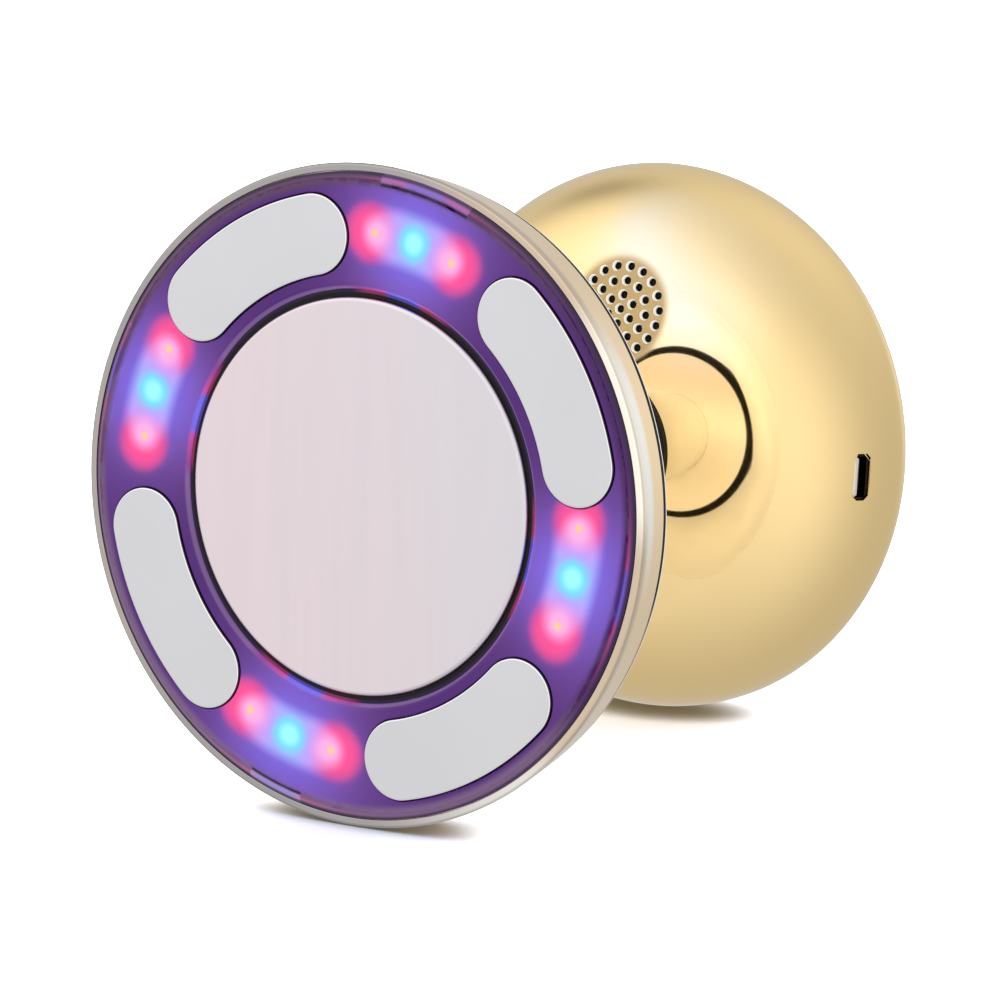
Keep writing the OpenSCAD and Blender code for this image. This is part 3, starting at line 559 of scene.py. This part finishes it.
def light_panel():
    """Violet translucent panel, with the light of the lamps behind it painted in as a glow. Side, the way along the
    ring from a group's middle, and across, the way outward from its middle line, place the red lamps of each of the
    four groups, the cyan one between them, the reflector's long window and its soft halo."""
    f = Finish("violet_light_panel")
    x, up, t = f.device()
    r = f.distance(x, up)
    side = from_group(f, x, up, r)
    across = r - LAMP_RING + (x * 0.22 - up * 0.37) / r

    def lit(red, green, blue):
        """Light of a screen colour, less what the glossy surface mirrors."""
        return tuple(max(0.0, v - 0.025) for v in srgb(red, green, blue))

    def disc(middle, inner, outer):
        return f.distance(side - middle, across).rise(outer, inner)

    past_window = side.math("MAXIMUM", side - WINDOW_HALF, 0.0)
    edge = f.distance(past_window, across)
    window = edge.rise(4.7, 2.3)
    cloud = f.noise(70, 3, 0.5)
    light = f.mix(side.bell(0.0, 12.5) * (0.8 + cloud * 0.3), lit(78, 46, 110), lit(124, 80, 156))
    middle = f.mix(side.rise(1.5, 4.0), lit(168, 180, 255), lit(196, 164, 252))
    # The band's tone is painted light and shade: lighter toward the bottom, darker at the top and the right
    band = f.mix(up.rise(-20.0, 20.0), lit(122, 98, 126), lit(92, 70, 88))
    band = f.mix(x.rise(22.0, 38.0) * up.rise(-34.0, -22.0), band, lit(66, 44, 78))
    top = up.rise(18.0, 24.0) * side.rise(6.6, 6.3)
    low = up.rise(-30.0, -34.0) * x.rise(0.0, -3.0) * side.rise(3.6, 3.3)
    lip = r.rise(GROOVE_R + 0.55, GROOVE_R + 0.25)
    for mask, tone in (
        # The blue halo, the pink one at the ends, the window, the red lamps and the cyan one
        (f.distance(side * 0.7, across * 0.8).bell(0.0, 5.7), lit(126, 112, 242)),
        (edge.bell(3.4, 1.0) * side.rise(4.5, 7.5) * 0.55, lit(206, 84, 150)),
        (window, f.mix(side.rise(3.1, 7.3), middle, lit(252, 84, 150))),
        (disc(6.3, 0.7, 3.5) * 0.9, lit(255, 180, 240)),
        (disc(6.6, 0.7, 2.0) * 0.6, lit(255, 186, 226)),
        (disc(RED_CHIP, 0.2, 0.85), lit(255, 210, 140)),
        (disc(0.0, 1.5, 3.4), lit(112, 228, 252)),
        (disc(0.0, 0.8, 2.2), lit(160, 255, 255)),
        # The mauve band along the outer edge, with a pale tab at the top and the lowest group, whose dark line is the
        # painted shadow of the tab's step
        (r.rise(42.4, 43.6) * 0.9, band),
        (top * r.rise(43.5, 43.7), lit(150, 112, 172)),
        (top * r.bell(43.25, 0.2), lit(38, 24, 50)),
        (low * r.rise(43.5, 43.7), lit(170, 150, 192)),
        (low * r.bell(43.3, 0.2), lit(48, 34, 56)),
        # The thin glowing line on the bevel and the dark line outside it
        (r.bell(PANEL_R - 0.8, 0.25) * side.bell(0.0, 7.0) * 0.55,
         f.mix(side.rise(2.2, 3.8), lit(120, 110, 240), lit(226, 92, 140))),
        (r.bell(PANEL_R - 0.25, 0.24) * 0.85, lit(34, 20, 40)),
        # The glowing edge at the groove, and a pale line on it away from the groups, which is a painted highlight
        (lip * side.bell(0.0, 8.0) * 0.7, f.mix(side.rise(3.0, 4.5), lit(120, 120, 250), lit(240, 84, 140))),
        (lip * side.rise(9.0, 13.0) * 0.3, lit(170, 145, 180)),
        # The dark walls of the electrodes' holes
        (t.rise(0.05, 0.16) * r.rise(30.0, 30.3) * r.rise(43.0, 42.8), (0.002, 0.001, 0.003)),
    ):
        light = f.mix(mask, light, tone)
    skin = f.noise(420, 2, 0.5)
    return f.surface(base_color=f.mix(skin, srgb(34, 18, 48), srgb(40, 22, 54)), roughness=0.14 + skin * 0.05,
                     emission_color=light, emission_strength=1.0, specular_ior_level=0.32,
                     normal=f.bump(skin, 0.000005, 0.2))


def key_face(key, angle):
    """Gold button with a dark engraved sign on its top: a power ring, a ring with a dot, a plus or a minus."""
    f = Finish(key + "_gold")
    x, up, t = f.device()
    centre = turn(np.array([KEY_RING, 0.0]), angle)
    x, up = x - float(centre[0]), up - float(centre[1])
    r = f.distance(x, up)

    def within(value, half):
        return abs(value).rise(half + 0.06, half - 0.02)

    def bar(long, short, half_long, half_short):
        return within(long, half_long) * within(short, half_short)

    def both(first, second):
        return first.math("MAXIMUM", first, second)

    half, stroke = 1.25, 0.14
    loop = abs(r - half).rise(0.2, 0.11)
    if key == "power_button":
        gap = bar(up - 1.2, x, 0.75, 0.42)
        sign = both(loop * (1 - gap), bar(up - 1.0, x, 0.7, 0.13))
    elif key == "mode_button":
        sign = both(loop, r.rise(0.52, 0.42))
    elif key == "plus_button":
        sign = both(bar(x, up, half, stroke), bar(up, x, half, stroke))
    else:
        sign = bar(x, up, half, stroke)
    sign = sign * t.rise(KEY_TOP - 0.5, KEY_TOP - 0.4)
    smudge = f.noise(60, 3, 0.5)
    base = f.mix(smudge.rise(0.3, 0.7) * 0.4, GOLD_COLOUR, shade(GOLD_COLOUR, 0.97, 0.93, 0.86))
    return f.surface(base_color=f.mix(sign, base, srgb(60, 46, 34)), metallic=1.0,
                     roughness=0.12 + smudge * 0.06 + sign * 0.3, normal=f.bump(1 - sign, 0.00005, 0.6))


GOLD = plated_gold()
TRIM = moulded("neck_champagne", (0.97, 0.92, 0.82), rough=0.3, grain=0.0, gloss=0.3)
RIM = rim_plating()
# The cap darkens toward its top: painted shade
CAP = moulded("cap_pearl_champagne", (1.0, 0.97, 0.95), rough=0.4, grain=0.0, gloss=0.25,
              fade=(1, 2.0, 14.0, (0.74, 0.67, 0.62)))
PLATE = satin_steel()
# The electrodes' rounded edges get a painted highlight and painted shade
ELECTRODE = polished_steel("electrode_steel", srgb(214, 214, 216), rough=0.16, outline=-0.25)
PANEL = light_panel()
SEAL = moulded("black_seal_rubber", RUBBER, rough=0.5, gloss=0.2)
# A black seal that also paints the gap's shadow, which fades to brown toward the bottom
RIM_GAP = moulded("rim_gap_shadow_and_seal", RUBBER, rough=0.5, gloss=0.2, fade=(1, -9.0, -18.0, (0.30, 0.22, 0.14)))
# The pearl darkens toward the head's rim: painted shade
PEARL = moulded("pearl_shell", (0.95, 0.95, 0.96), rough=0.3, grain=0.1, coat=0.2,
                fade=(0, 28.0, 42.0, (0.80, 0.80, 0.81)))
CREAM = moulded("cream_control_panel", srgb(222, 211, 194), rough=0.25, coat=0.5)
# The cut edges glow a little: a painted highlight
CUT_EDGE = moulded("sound_hole_plastic", srgb(254, 250, 240), rough=0.25, coat=0.5, glow=0.13)
GAUZE = moulded("black_gauze", srgb(14, 12, 12), rough=0.8)
PORT = polished_steel("port_nickel", srgb(236, 226, 216))
CLEAR = moulded("status_lens", srgb(190, 226, 250), rough=0.12, coat=0.8)

# The solids that no piece replaces
for finish, nodes in (
    (groove_seal(), "plate_gasket"),
    (moulded("white_reflector", srgb(236, 234, 238), rough=0.4), "reflector_ring"),
    (moulded("board_white", srgb(228, 230, 224)), "led_board"),
    (moulded("red_lens", srgb(255, 120, 140), rough=0.15, coat=0.5), "red_leds"),
    (moulded("blue_lens", srgb(150, 230, 255), rough=0.15, coat=0.5), "blue_leds"),
    (polished_steel("contact_brass", srgb(212, 178, 104)), "electrode_contacts contact_shim neck_nut"),
    (polished_steel("screw_zinc", srgb(168, 168, 172)), "head_screws back_mass clamp_bolt neck_screws board_screws"),
    (polished_steel("transducer_aluminium", srgb(196, 198, 202)), "front_mass"),
    (moulded("piezo_ceramic", srgb(214, 204, 178), rough=0.6), "ceramic_rings"),
    (moulded("wire_insulation", srgb(46, 46, 52), rough=0.45), "wire_harness"),
    (moulded("black_plastic", srgb(24, 22, 22), rough=0.4), "speaker battery_tray key_switches"),
    # The port's shell is the socket lip's nickel darkened as painted shade
    (polished_steel("port_nickel_in_painted_shade", srgb(52, 40, 30), rough=0.3), "charging_socket"),
    (moulded("port_tongue", srgb(58, 42, 30), rough=0.5), "socket_tongue"),
    (moulded("battery_wrap", srgb(58, 96, 148), rough=0.3, coat=0.4), "battery"),
    (moulded("board_green", srgb(38, 104, 62), rough=0.3, coat=0.3), "main_board"),
):
    for node in nodes.split():
        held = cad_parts[node].data.materials
        held.clear()
        held.append(finish)

# ---- head

FLANGE_T, FLANGE_BACK = 2.0, 3.2
plate_outline = rounded([(0, 0), (PLATE_R, 0, 0.6), (PLATE_R, FLANGE_T), (GROOVE_R + PLATE_FLANGE, FLANGE_T),
                         (GROOVE_R + PLATE_FLANGE, FLANGE_BACK), (0, FLANGE_BACK)], closed=False, steps=8)
piece("centre_plate_skin", [turned(plate_outline, 256, closed=False)], PLATE,
      replaces=["centre_plate"])

LIP_T = 0.35
rim_outline = rounded([(PANEL_R, PANEL_H), (PANEL_R, LIP_T, 0.12), (HEAD_R, LIP_T, 1.05), (RIM_BACK_R, RIM_DEPTH, 0.3),
                       (RIM_INNER, RIM_DEPTH, 0.1), (RIM_INNER, PANEL_H)], steps=12)
piece("rim_ring_skin", [turned(rim_outline, 360)], RIM, replaces=["rim_ring"])

bar_half = rounded([(BAR_W / 2, PANEL_H), (BAR_W / 2, -BAR_PROUD, 0.32), (0, -BAR_PROUD)], closed=False, steps=6)
electrode_section = [(0.0, PANEL_H), *map(tuple, bar_half)]
for number in range(4):
    bar_sheet = bar_solid(BAR_ANGLE + 90 * number, BAR_RING, BAR_W, BAR_SPAN, electrode_section, 64)
    piece(f"electrode_{number + 1}_skin", [bar_sheet], ELECTRODE, replaces=[f"electrode_{number + 1}"])


def panel_sheets():
    """The panel: four quarters, each with an electrode's hole, between a lathed inner and a lathed outer edge."""
    low, high, half = GROOVE_R + 0.5, PANEL_R - BEVEL, math.radians(45)
    width, span = BAR_W + 0.2, BAR_SPAN + 0.3
    rays = bar_rays(span, BAR_RING, width, 90, sector_corners(low, high, half))
    middle, out = rays[:, :2], rays[:, 2:]
    w = width / 2
    section = [(w, 1.55), (w, 0.16), (w + 0.02, 0.07), (w + 0.07, 0.02), (w + 0.16, 0.0)]
    rows = hole_rows(middle, out, sector_reach(middle, out, low, high, half), section, (0.03, 0.25, 0.5, 0.75, 1.0))
    sheets, ends = [], []
    for k in range(4):
        x, up, t = spun(rows, BAR_ANGLE + 90 * k)
        sheets.append((place(x, up, t), False, True, False))
        ends.append(np.stack([x[-1], up[-1]], -1))
    outer = rounded([(high - 0.02, 0.0), (high, 0.0, 0.05), (PANEL_R - 0.1, BEVEL_DROP, 0.08),
                     (PANEL_R - 0.1, PANEL_H)], closed=False)
    inner = rounded([(GROOVE_R, PANEL_H), (GROOVE_R, 0.5, 0.1), (low, 0.0)], closed=False)
    outer[0] = high, 0.0
    return sheets + [cap_sheet(outer, border_angles(ends, high)), cap_sheet(inner, border_angles(ends, low))]


piece("front_panel_skin", panel_sheets(), PANEL, replaces=["front_panel"])

# A dark line between the rim and the head's back: a black seal ring that also stands in for the gap's shadow,
# as painted shadow that fades to brown toward the bottom
GAP_T, GAP_BACK = RIM_DEPTH + 0.04, 9.12
gap_shadow_and_seal_outline = rounded([(RIM_INNER, GAP_T), (44.14, GAP_T, 0.1), (44.1, GAP_BACK, 0.1), (RIM_INNER, GAP_BACK)])
piece("rim_gap_shadow_and_seal_ring", [turned(gap_shadow_and_seal_outline, 320)], RIM_GAP)

SHELL_R, SHELL_FRONT, SHELL_INNER, BOSS_ROOF, BOSS_FLOOR = 43.0, 5.4, 41.6, 20.0, 12.6
CAP_FOOT, BORE_R = BOSS_TOP - 0.8, NECK_R + 0.05
shell_outline = rounded([(SHELL_INNER, SHELL_FRONT), (SHELL_R, SHELL_FRONT), (SHELL_R, 9.14), (44.1, 9.14, 0.08),
                         (44.0, 9.42, 0.12), (BOSS_RING_R + 0.1, BOSS_FOOT), (BOSS_R, BOSS_FOOT), (BOSS_R, CAP_FOOT),
                         (BORE_R, CAP_FOOT), (BORE_R, BOSS_ROOF), (17.2, BOSS_ROOF), (17.6, BOSS_FLOOR),
                         (21.5, BOSS_FLOOR), (SHELL_INNER, 7.1)], steps=8)
piece("head_back_skin", [turned(shell_outline, 320)], PEARL, replaces=["head_back_shell"])
RING_INNER, RING_TOP = BOSS_R + 0.05, BOSS_TOP - 1
ring_outline = rounded([(RING_INNER, BOSS_FOOT), (BOSS_RING_R, BOSS_FOOT), (BOSS_RING_R, RING_TOP, 0.8),
                        (RING_INNER, RING_TOP)], steps=10)
piece("boss_ring_skin", [turned(ring_outline, 256)], SEAL, replaces=["boss_ring"])
cap_outline = rounded([(BORE_R, CAP_FOOT), (BOSS_R, CAP_FOOT), (BOSS_R, BOSS_TOP, 0.5), (BORE_R, BOSS_TOP)], steps=8)
piece("boss_cap_skin", [turned(cap_outline, 256)], CAP, replaces=["boss_cap"])

# ---- neck

neck_outline = rounded([(NECK_INNER, NECK_FOOT), (NECK_FLANGE_R, NECK_FOOT), (NECK_FLANGE_R, BOSS_ROOF),
                        (NECK_R, BOSS_ROOF), (NECK_R, NECK_END), (NECK_INNER, NECK_END)])
piece("neck_tube_skin", [turned(neck_outline, 160)], TRIM, replaces=["neck_tube"])
seal_outline = rounded([(BORE_R, POLE_T), (BORE_R, POLE_T - 1.4, 0.2), (COLLAR_R - 0.6, POLE_T - 1.4, 0.4),
                        (COLLAR_R, POLE_T - 0.7, 0.3), (COLLAR_R, POLE_T)])
piece("neck_seal_skin", [turned(seal_outline, 160)], SEAL, replaces=["neck_seal"])

# ---- grip


def box_gap(a, b, half_a, half_b, corner):
    """Signed distance to a rounded box in tangent coordinates, and the nearest point of its outline."""
    qa, qb = np.abs(a) - half_a + corner, np.abs(b) - half_b + corner
    gap = np.hypot(np.maximum(qa, 0), np.maximum(qb, 0)) + np.minimum(np.maximum(qa, qb), 0) - corner
    both = (qa > 0) & (qb > 0)
    length = np.maximum(np.hypot(qa, qb), 1e-9)
    na = np.where(both, corner * qa / length, np.where(qa > qb, corner, qa))
    nb = np.where(both, corner * qb / length, np.where(qa > qb, qb, corner))
    return gap, np.sign(a) * (na + half_a - corner), np.sign(b) * (nb + half_b - corner)


def box_outline(half_a, half_b, corner, samples=12):
    """Points round a rounded box in tangent coordinates, counter-clockwise."""
    a = np.linspace(0, math.pi / 2, samples)
    rows = []
    for sign_a, sign_b, start in ((1, 1, 0), (-1, 1, 90), (-1, -1, 180), (1, -1, 270)):
        way = a + math.radians(start)
        rows.append(np.stack([sign_a * (half_a - corner) + corner * np.cos(way),
                              sign_b * (half_b - corner) + corner * np.sin(way)], -1))
    return np.vstack(rows)


def sound_cells(section, spread=(0.15, 0.5, 1.0), samples=48):
    """The perforated patch: each hole has its own sector of a ring round the middle hole. Rows of (points, depth)."""
    cells = [circle_cell(0.0, 0.0, 0.5 * SOUND_PITCH, math.pi, section, spread, samples)]
    for k in range(1, SOUND_RINGS + 1):
        ring, low, high = k * SOUND_PITCH, (k - 0.5) * SOUND_PITCH, (k + 0.5) * SOUND_PITCH
        rows = circle_cell(ring, low, high, math.pi / (6 * k), section, spread, samples)
        cells += [[(turn(p, 60 / k * i), d) for p, d in rows] for i in range(6 * k)]
    return cells


def seat_sheet(seat, rows, flip=True):
    """Rows of (tangent points, depth) put on the grip's front at a seat."""
    return seat.place(*spun(rows)), False, True, flip


def grip_front_sheets():
    """The front in rings round the perforated patch, out to the widest ring, and the strip behind it up to the
    joint. Directions on a sphere stand for the points. Cells inside the neck's seat and the slot are left out,
    and the points that border them moved to their edges."""
    mouth = [(HOLE_MOUTH - 0.01, 0.10), (HOLE_MOUTH, 0.05), (HOLE_MOUTH + 0.02, 0.02), (HOLE_MOUTH + 0.07, 0.0)]
    cells = sound_cells(mouth, samples=60)
    phi = border_angles([rows[-1][0] for rows in cells], PATCH_R)
    first = SOUND_SEAT.device(PATCH_R * np.cos(phi), PATCH_R * np.sin(phi))

    def direction(p):
        q = p[..., :2] / GRIP_R
        return np.concatenate([q, -np.sqrt(np.maximum(0, 1 - np.sum(q * q, -1, keepdims=True)))], -1)

    start, centre = direction(first), direction(SOUND_SEAT.centre)
    along = start - (start @ centre)[:, None] * centre
    along /= np.linalg.norm(along, axis=1)[:, None]
    first_angle = np.arccos(np.clip(start @ centre, -1, 1))
    last_angle = np.arctan2(-centre[2], along[:, 2])
    angle = first_angle + (last_angle - first_angle) * np.linspace(0, 1, 180)[:, None]
    q = np.cos(angle)[..., None] * centre + np.sin(angle)[..., None] * along
    x, up = GRIP_R * q[..., 0], GRIP_R * q[..., 1]
    r = np.maximum(np.hypot(x, up), 1e-9)
    theta = np.arctan2(up[-1], x[-1])

    def edge_of(hole):
        """Points of a hole that touch a cell outside it, and points that don't and so are left out."""
        cell = hole[:-1] & np.roll(hole, -1, 1)[:-1] & hole[1:] & np.roll(hole, -1, 1)[1:]
        kept = ~cell
        touched = np.zeros_like(hole)
        touched[:-1] |= kept | np.roll(kept, 1, 1)
        touched[1:] |= kept | np.roll(kept, 1, 1)
        return hole & touched, hole & ~touched

    move, drop = edge_of(r < POLE_R)
    x, up = np.where(move, x * POLE_R / r, x), np.where(move, up * POLE_R / r, up)
    t = front_t(np.hypot(x, up))
    offset = np.stack([x, up, t], -1) - SLOT_SEAT.centre
    a, b = offset @ SLOT_SEAT.down, offset @ SLOT_SEAT.side
    soft = 0.06  # how far the slot's edge is rounded
    gap, na, nb = box_gap(a, b, SLOT_W / 2 + soft, SLOT_H / 2 + soft, SLOT_CORNER + soft)
    slot_move, slot_drop = edge_of((gap < 0) & (np.linalg.norm(offset, axis=-1) < SLOT_H + 1.2))
    moved = SLOT_SEAT.device(np.where(slot_move, na, 0.0), np.where(slot_move, nb, 0.0))
    p = np.where(slot_move[..., None], moved, np.stack([x, up, t], -1))
    p[drop | slot_drop] = np.nan
    front = place(*np.moveaxis(p, -1, 0))
    v = np.linspace(0, math.asin((SEAM_T - GRIP_WAIST) / GRIP_BACK), 12)[:, None]
    strip = place(GRIP_R * np.cos(v) * np.cos(theta), GRIP_R * np.cos(v) * np.sin(theta),
                  GRIP_WAIST + GRIP_BACK * np.sin(v) + 0 * theta)
    edge_r = GRIP_R * math.cos(float(v[-1, 0]))
    lip = np.array([(edge_r, SEAM_T), (edge_r - 0.03, SEAM_T), (edge_r - 1.5, SEAM_T)])
    hole_r = NECK_R + 0.1
    seat = np.array([(hole_r, POLE_T + 1.5), (hole_r, POLE_T + 0.02), (NECK_R + 0.12, POLE_T), (POLE_R, POLE_T)])
    slot_edge = [(box_outline(SLOT_W / 2 + s, SLOT_H / 2 + s, SLOT_CORNER + s), d)
                 for s, d in ((0.0, 1.2), (0.0, 0.1), (0.01, 0.04), (0.03, 0.01), (soft, 0.0))]
    return [(front, False, True, True), (strip, False, True, True), (turned(lip, theta)[0], False, True, True),
            (turned(seat, 128)[0], False, True, False), seat_sheet(SLOT_SEAT, slot_edge)] \
        + [seat_sheet(SOUND_SEAT, rows) for rows in cells]


piece("grip_front_skin", grip_front_sheets(), GOLD, replaces=["grip_front_shell"],
      normals=front_normals)

# In each sound hole a pale cone, which is the cut edge of the shell and glows a little as a painted highlight,
# and a black cup behind it
cone = [(HOLE_R, 0.5), (HOLE_R + 0.02, 0.44), (HOLE_MOUTH - 0.03, 0.08), (HOLE_MOUTH - 0.015, 0.06),
        (HOLE_MOUTH + 0.01, 0.06)]
piece("sound_hole_rims", [seat_sheet(SOUND_SEAT, rows) for rows in sound_cells(cone, (), 40)], CUT_EDGE)
cup = [(0.0, 1.2), (HOLE_R - 0.04, 1.2), (HOLE_R, 1.15), (HOLE_R, 0.5), (HOLE_R + 0.04, 0.46)]
piece("sound_hole_gauze", [seat_sheet(SOUND_SEAT, rows) for rows in sound_cells(cup, (), 24)], GAUZE)


def slot_lip():
    """The bright strip along the slot's inner long side: a four-cornered outline with slanted ends and a rounded
    edge. Its face lies just under the surface."""
    inner, outer, face = -1.22, -0.6, 0.18
    corners = rounded([(inner, -3.1, 0.1), (outer, -2.72, 0.06), (outer, 2.62, 0.06), (inner, 3.1, 0.1)])
    middle = corners.mean(0)
    section = [(1.0, 0.5), (1.0, face + 0.04), (0.985, face + 0.01), (0.95, face), (0.5, face), (0.0, face)]
    return seat_sheet(SLOT_SEAT, [(middle + (corners - middle) * k, d) for k, d in section], flip=False)


piece("socket_lip", [slot_lip()], PORT)

v = np.linspace(math.asin((SEAM_T + 0.1 - GRIP_WAIST) / GRIP_BACK), math.acos((CONTROL_R + 0.1) / GRIP_R), 60)
back_curve = np.stack([GRIP_R * np.cos(v), GRIP_WAIST + GRIP_BACK * np.sin(v)], -1)
(seam_r, seam_t), (mouth_r, mouth_t) = back_curve[0], back_curve[-1]
WALL, FLOOR_T = 1.6, CONTROL_T - 1.5
back_outline = np.vstack([[(seam_r - WALL, seam_t), (seam_r - 0.04, seam_t)], back_curve,
                          [(mouth_r, mouth_t - 0.04), (mouth_r, CONTROL_T), (mouth_r - WALL, CONTROL_T),
                           (mouth_r - WALL, FLOOR_T), (mouth_r + WALL, FLOOR_T)]])
piece("grip_back_skin", [turned(back_outline, 360)], GOLD, replaces=["grip_back_shell"])

# ---- controls


def control_sheets():
    """The control panel, which follows the grip's back: four quarters with a button's hole each, a middle with
    the light's hole, and the lathed outer edge."""
    low, high, half = 3.4, CONTROL_R - 0.2, math.radians(45)
    section = [(KEY_HOLE_R, CONTROL_H), (KEY_HOLE_R, 0.22), (KEY_HOLE_R + 0.03, 0.1), (KEY_HOLE_R + 0.1, 0.03),
               (KEY_HOLE_R + 0.22, 0.0)]
    rows = circle_cell(KEY_RING, low, high, half, section, (0.2, 0.5, 0.75, 1.0), 72)
    sheets, ends = [], []
    for k in range(4):
        x, up, depth = spun(rows, 90 * k)
        sheets.append((place(x, up, back_t(np.hypot(x, up)) - depth), False, True, True))
        ends.append(np.stack([x[-1], up[-1]], -1))
    r = high + np.array([0, 0.08, 0.15, 0.19, 0.2])
    outer = np.stack([r, back_t(r) - np.array([0, 0.01, 0.04, 0.1, 0.2])], -1)
    outer = np.vstack([outer, [(CONTROL_R, CONTROL_T), (CONTROL_R - 1.0, CONTROL_T)]])
    r = np.array([LENS_HOLE_R, LENS_HOLE_R, 1.32, 1.38, 1.48, 2.0, 2.7, low])
    inner = np.stack([r, back_t(r) - np.array([CONTROL_H, 0.18, 0.08, 0.02, 0, 0, 0, 0])], -1)
    for outline, radius in ((outer, high), (inner, low)):
        sheets.append((turned(outline, border_angles(ends, radius))[0], False, True, True))
    return sheets


piece("control_panel_skin", control_sheets(), CREAM, replaces=["control_panel"])
KEY_FOOT, KEY_FLANGE_T, KEY_FLANGE_R = 88.7, 89.6, 4.2
key_outline = rounded([(0, KEY_FOOT), (KEY_FLANGE_R, KEY_FOOT), (KEY_FLANGE_R, KEY_FLANGE_T), (KEY_R, KEY_FLANGE_T),
                       (KEY_R, KEY_TOP, 0.5), (2.9, KEY_TOP, 0.3), (0, KEY_TOP - 0.12)], closed=False, steps=8)
for key, angle in KEYS.items():
    at = turn(np.array([KEY_RING, 0.0]), angle)
    piece(key + "_skin", [turned(key_outline, 96, False, at)], key_face(key, angle), body=key, replaces=[key])
LENS_FOOT, LENS_FLANGE_T, LENS_R, LENS_FLANGE_R = 86.6, 87.6, 1.2, 1.8
lens_outline = rounded([(0, LENS_FOOT), (LENS_FLANGE_R, LENS_FOOT), (LENS_FLANGE_R, LENS_FLANGE_T),
                        (LENS_R, LENS_FLANGE_T), (LENS_R, 94.12, 0.12), (0.6, 94.27, 0.5), (0, 94.3)], closed=False)
piece("status_lens", [turned(lens_outline, 48, closed=False)], CLEAR, replaces=["status_light"])

# ---- studio

# Soft lights of the surround: azimuth, elevation, strength and narrowness. A negative one is a dark patch.
SOFT_LIGHTS = [(-40, 32, 0.70, 3.1), (34, -2, 0.46, 2.8), (155, 52, 0.23, 4.5), (-110, 46, -0.32, 29.0),
               (9, 34, 0.11, 39.0), (173, 0, 0.24, 26.0)]
SURROUND_LEVEL = 0.58
# The two soft boxes behind: power in watts, azimuth to either side, elevation, and distance and size in metres
REAR_POWER, REAR_AZIMUTH, REAR_ELEVATION, REAR_DISTANCE, REAR_SIZE = 9.4, 140, 25, 1.2, 1.0
# The floor: its colour for the light, for the camera, and of the painted contact shadow; half its width and
# a contact's reach in metres
FLOOR_COLOURS = ((0.8, 0.8, 0.8), (1.35, 1.42, 1.6), (0.32, 0.30, 0.27))
FLOOR_HALF, CONTACT_REACH = 6.0, 0.0045
# The photograph's viewpoint: degrees round from the face, up and of lean, the aim and the distance in metres
VIEW_AZIMUTH, VIEW_ELEVATION, VIEW_LEAN = 33.2932, 12.1632, -0.9067
VIEW_AIM, VIEW_DISTANCE, VIEW_LENS = (-0.003707, -0.004645, 0.037427), 0.829429, 208.134


def toward(azimuth, elevation):
    """The direction of a viewpoint or a light, from the object. Azimuth 0 is in front of it."""
    a, e = math.radians(azimuth), math.radians(elevation)
    return Vector((math.sin(a) * math.cos(e), -math.cos(a) * math.cos(e), math.sin(e)))


def studio():
    """A white floor, which mirrors don't see and which the camera sees brighter than the light does, with a painted
    contact shadow only where something stands on it, and a white surround with a few wide soft lights."""
    f = Finish("studio_floor")
    ray = f.add("LightPath")
    plain, seen, painted_contact_shadow = (f.add("BsdfDiffuse", None, {"Color": colour}) for colour in FLOOR_COLOURS)
    open_sky = f.add("AmbientOcclusion", {"samples": 12}, {"Distance": CONTACT_REACH}).out("AO")
    # Where ambient occlusion finds something close by, a dark colour is mixed in: a painted contact shadow
    opaque = f.blend(ray.out("Is Camera Ray"), plain, f.blend(open_sky.rise(0.1, 0.95), painted_contact_shadow, seen))
    floor_look = f.blend(ray.out("Is Glossy Ray"), opaque, f.add("BsdfTransparent"))
    f.add("OutputMaterial", None, {"Surface": floor_look})
    mesh = bpy.data.meshes.new("studio_floor")
    corners = [(sx * FLOOR_HALF, sy * FLOOR_HALF, 0) for sx, sy in ((-1, -1), (1, -1), (1, 1), (-1, 1))]
    mesh.from_pydata(corners, [], [(0, 1, 2, 3)])
    mesh.materials.append(f.material)
    floor = put("studio_floor", mesh)

    world = bpy.data.worlds.new("studio_surround")
    bpy.context.scene.world = world
    w = Finish("studio_surround", world)
    way = w.add("TexCoord").out("Generated")
    level = SURROUND_LEVEL
    for azimuth, elevation, strength, narrow in SOFT_LIGHTS:
        middle = tuple(toward(azimuth, elevation))
        dot = w.add("VectorMath", {"operation": "DOT_PRODUCT"}, {0: way, 1: middle}).out("Value")
        level = dot.math("EXPONENT", (dot - 1) * narrow) * strength + level
    lit, white = (w.add("Background", None, {"Color": (1, 1, 1), "Strength": power}) for power in (level, 1.0))
    w.add("OutputWorld", None, {"Surface": w.blend(w.add("LightPath").out("Is Camera Ray"), lit, white)})

    # Two soft boxes behind, which light the pale pieces between head and grip and don't show in the mirrors
    for number, azimuth in enumerate((REAR_AZIMUTH, -REAR_AZIMUTH)):
        data = bpy.data.lights.new(f"rear_softbox_{number}", "AREA")
        data.shape, data.size, data.energy = "SQUARE", REAR_SIZE, REAR_POWER
        lamp = put(data.name, data)
        way = toward(azimuth, REAR_ELEVATION)
        lamp.location = way * REAR_DISTANCE
        lamp.rotation_mode = "QUATERNION"
        lamp.rotation_quaternion = way.to_track_quat("Z", "Y")
        lamp.visible_glossy = False


def camera():
    """The camera at the photograph's viewpoint."""
    data = bpy.data.cameras.new("camera")
    data.lens, data.sensor_width = VIEW_LENS, 36.0
    data.clip_start, data.clip_end = 0.05, 50
    obj = put("camera", data)
    back, roll = toward(VIEW_AZIMUTH, VIEW_ELEVATION), math.radians(VIEW_LEAN)
    right = Vector((-back.y, back.x, 0)).normalized()
    up = back.cross(right)
    right, up = right * math.cos(roll) + up * math.sin(roll), up * math.cos(roll) - right * math.sin(roll)
    obj.location = Vector(VIEW_AIM) + back * VIEW_DISTANCE
    obj.rotation_mode = "QUATERNION"
    obj.rotation_quaternion = Matrix((right, up, back)).transposed().to_quaternion()
    bpy.context.scene.camera = obj


studio()
camera()
bpy.context.scene.view_settings.view_transform = "Standard"
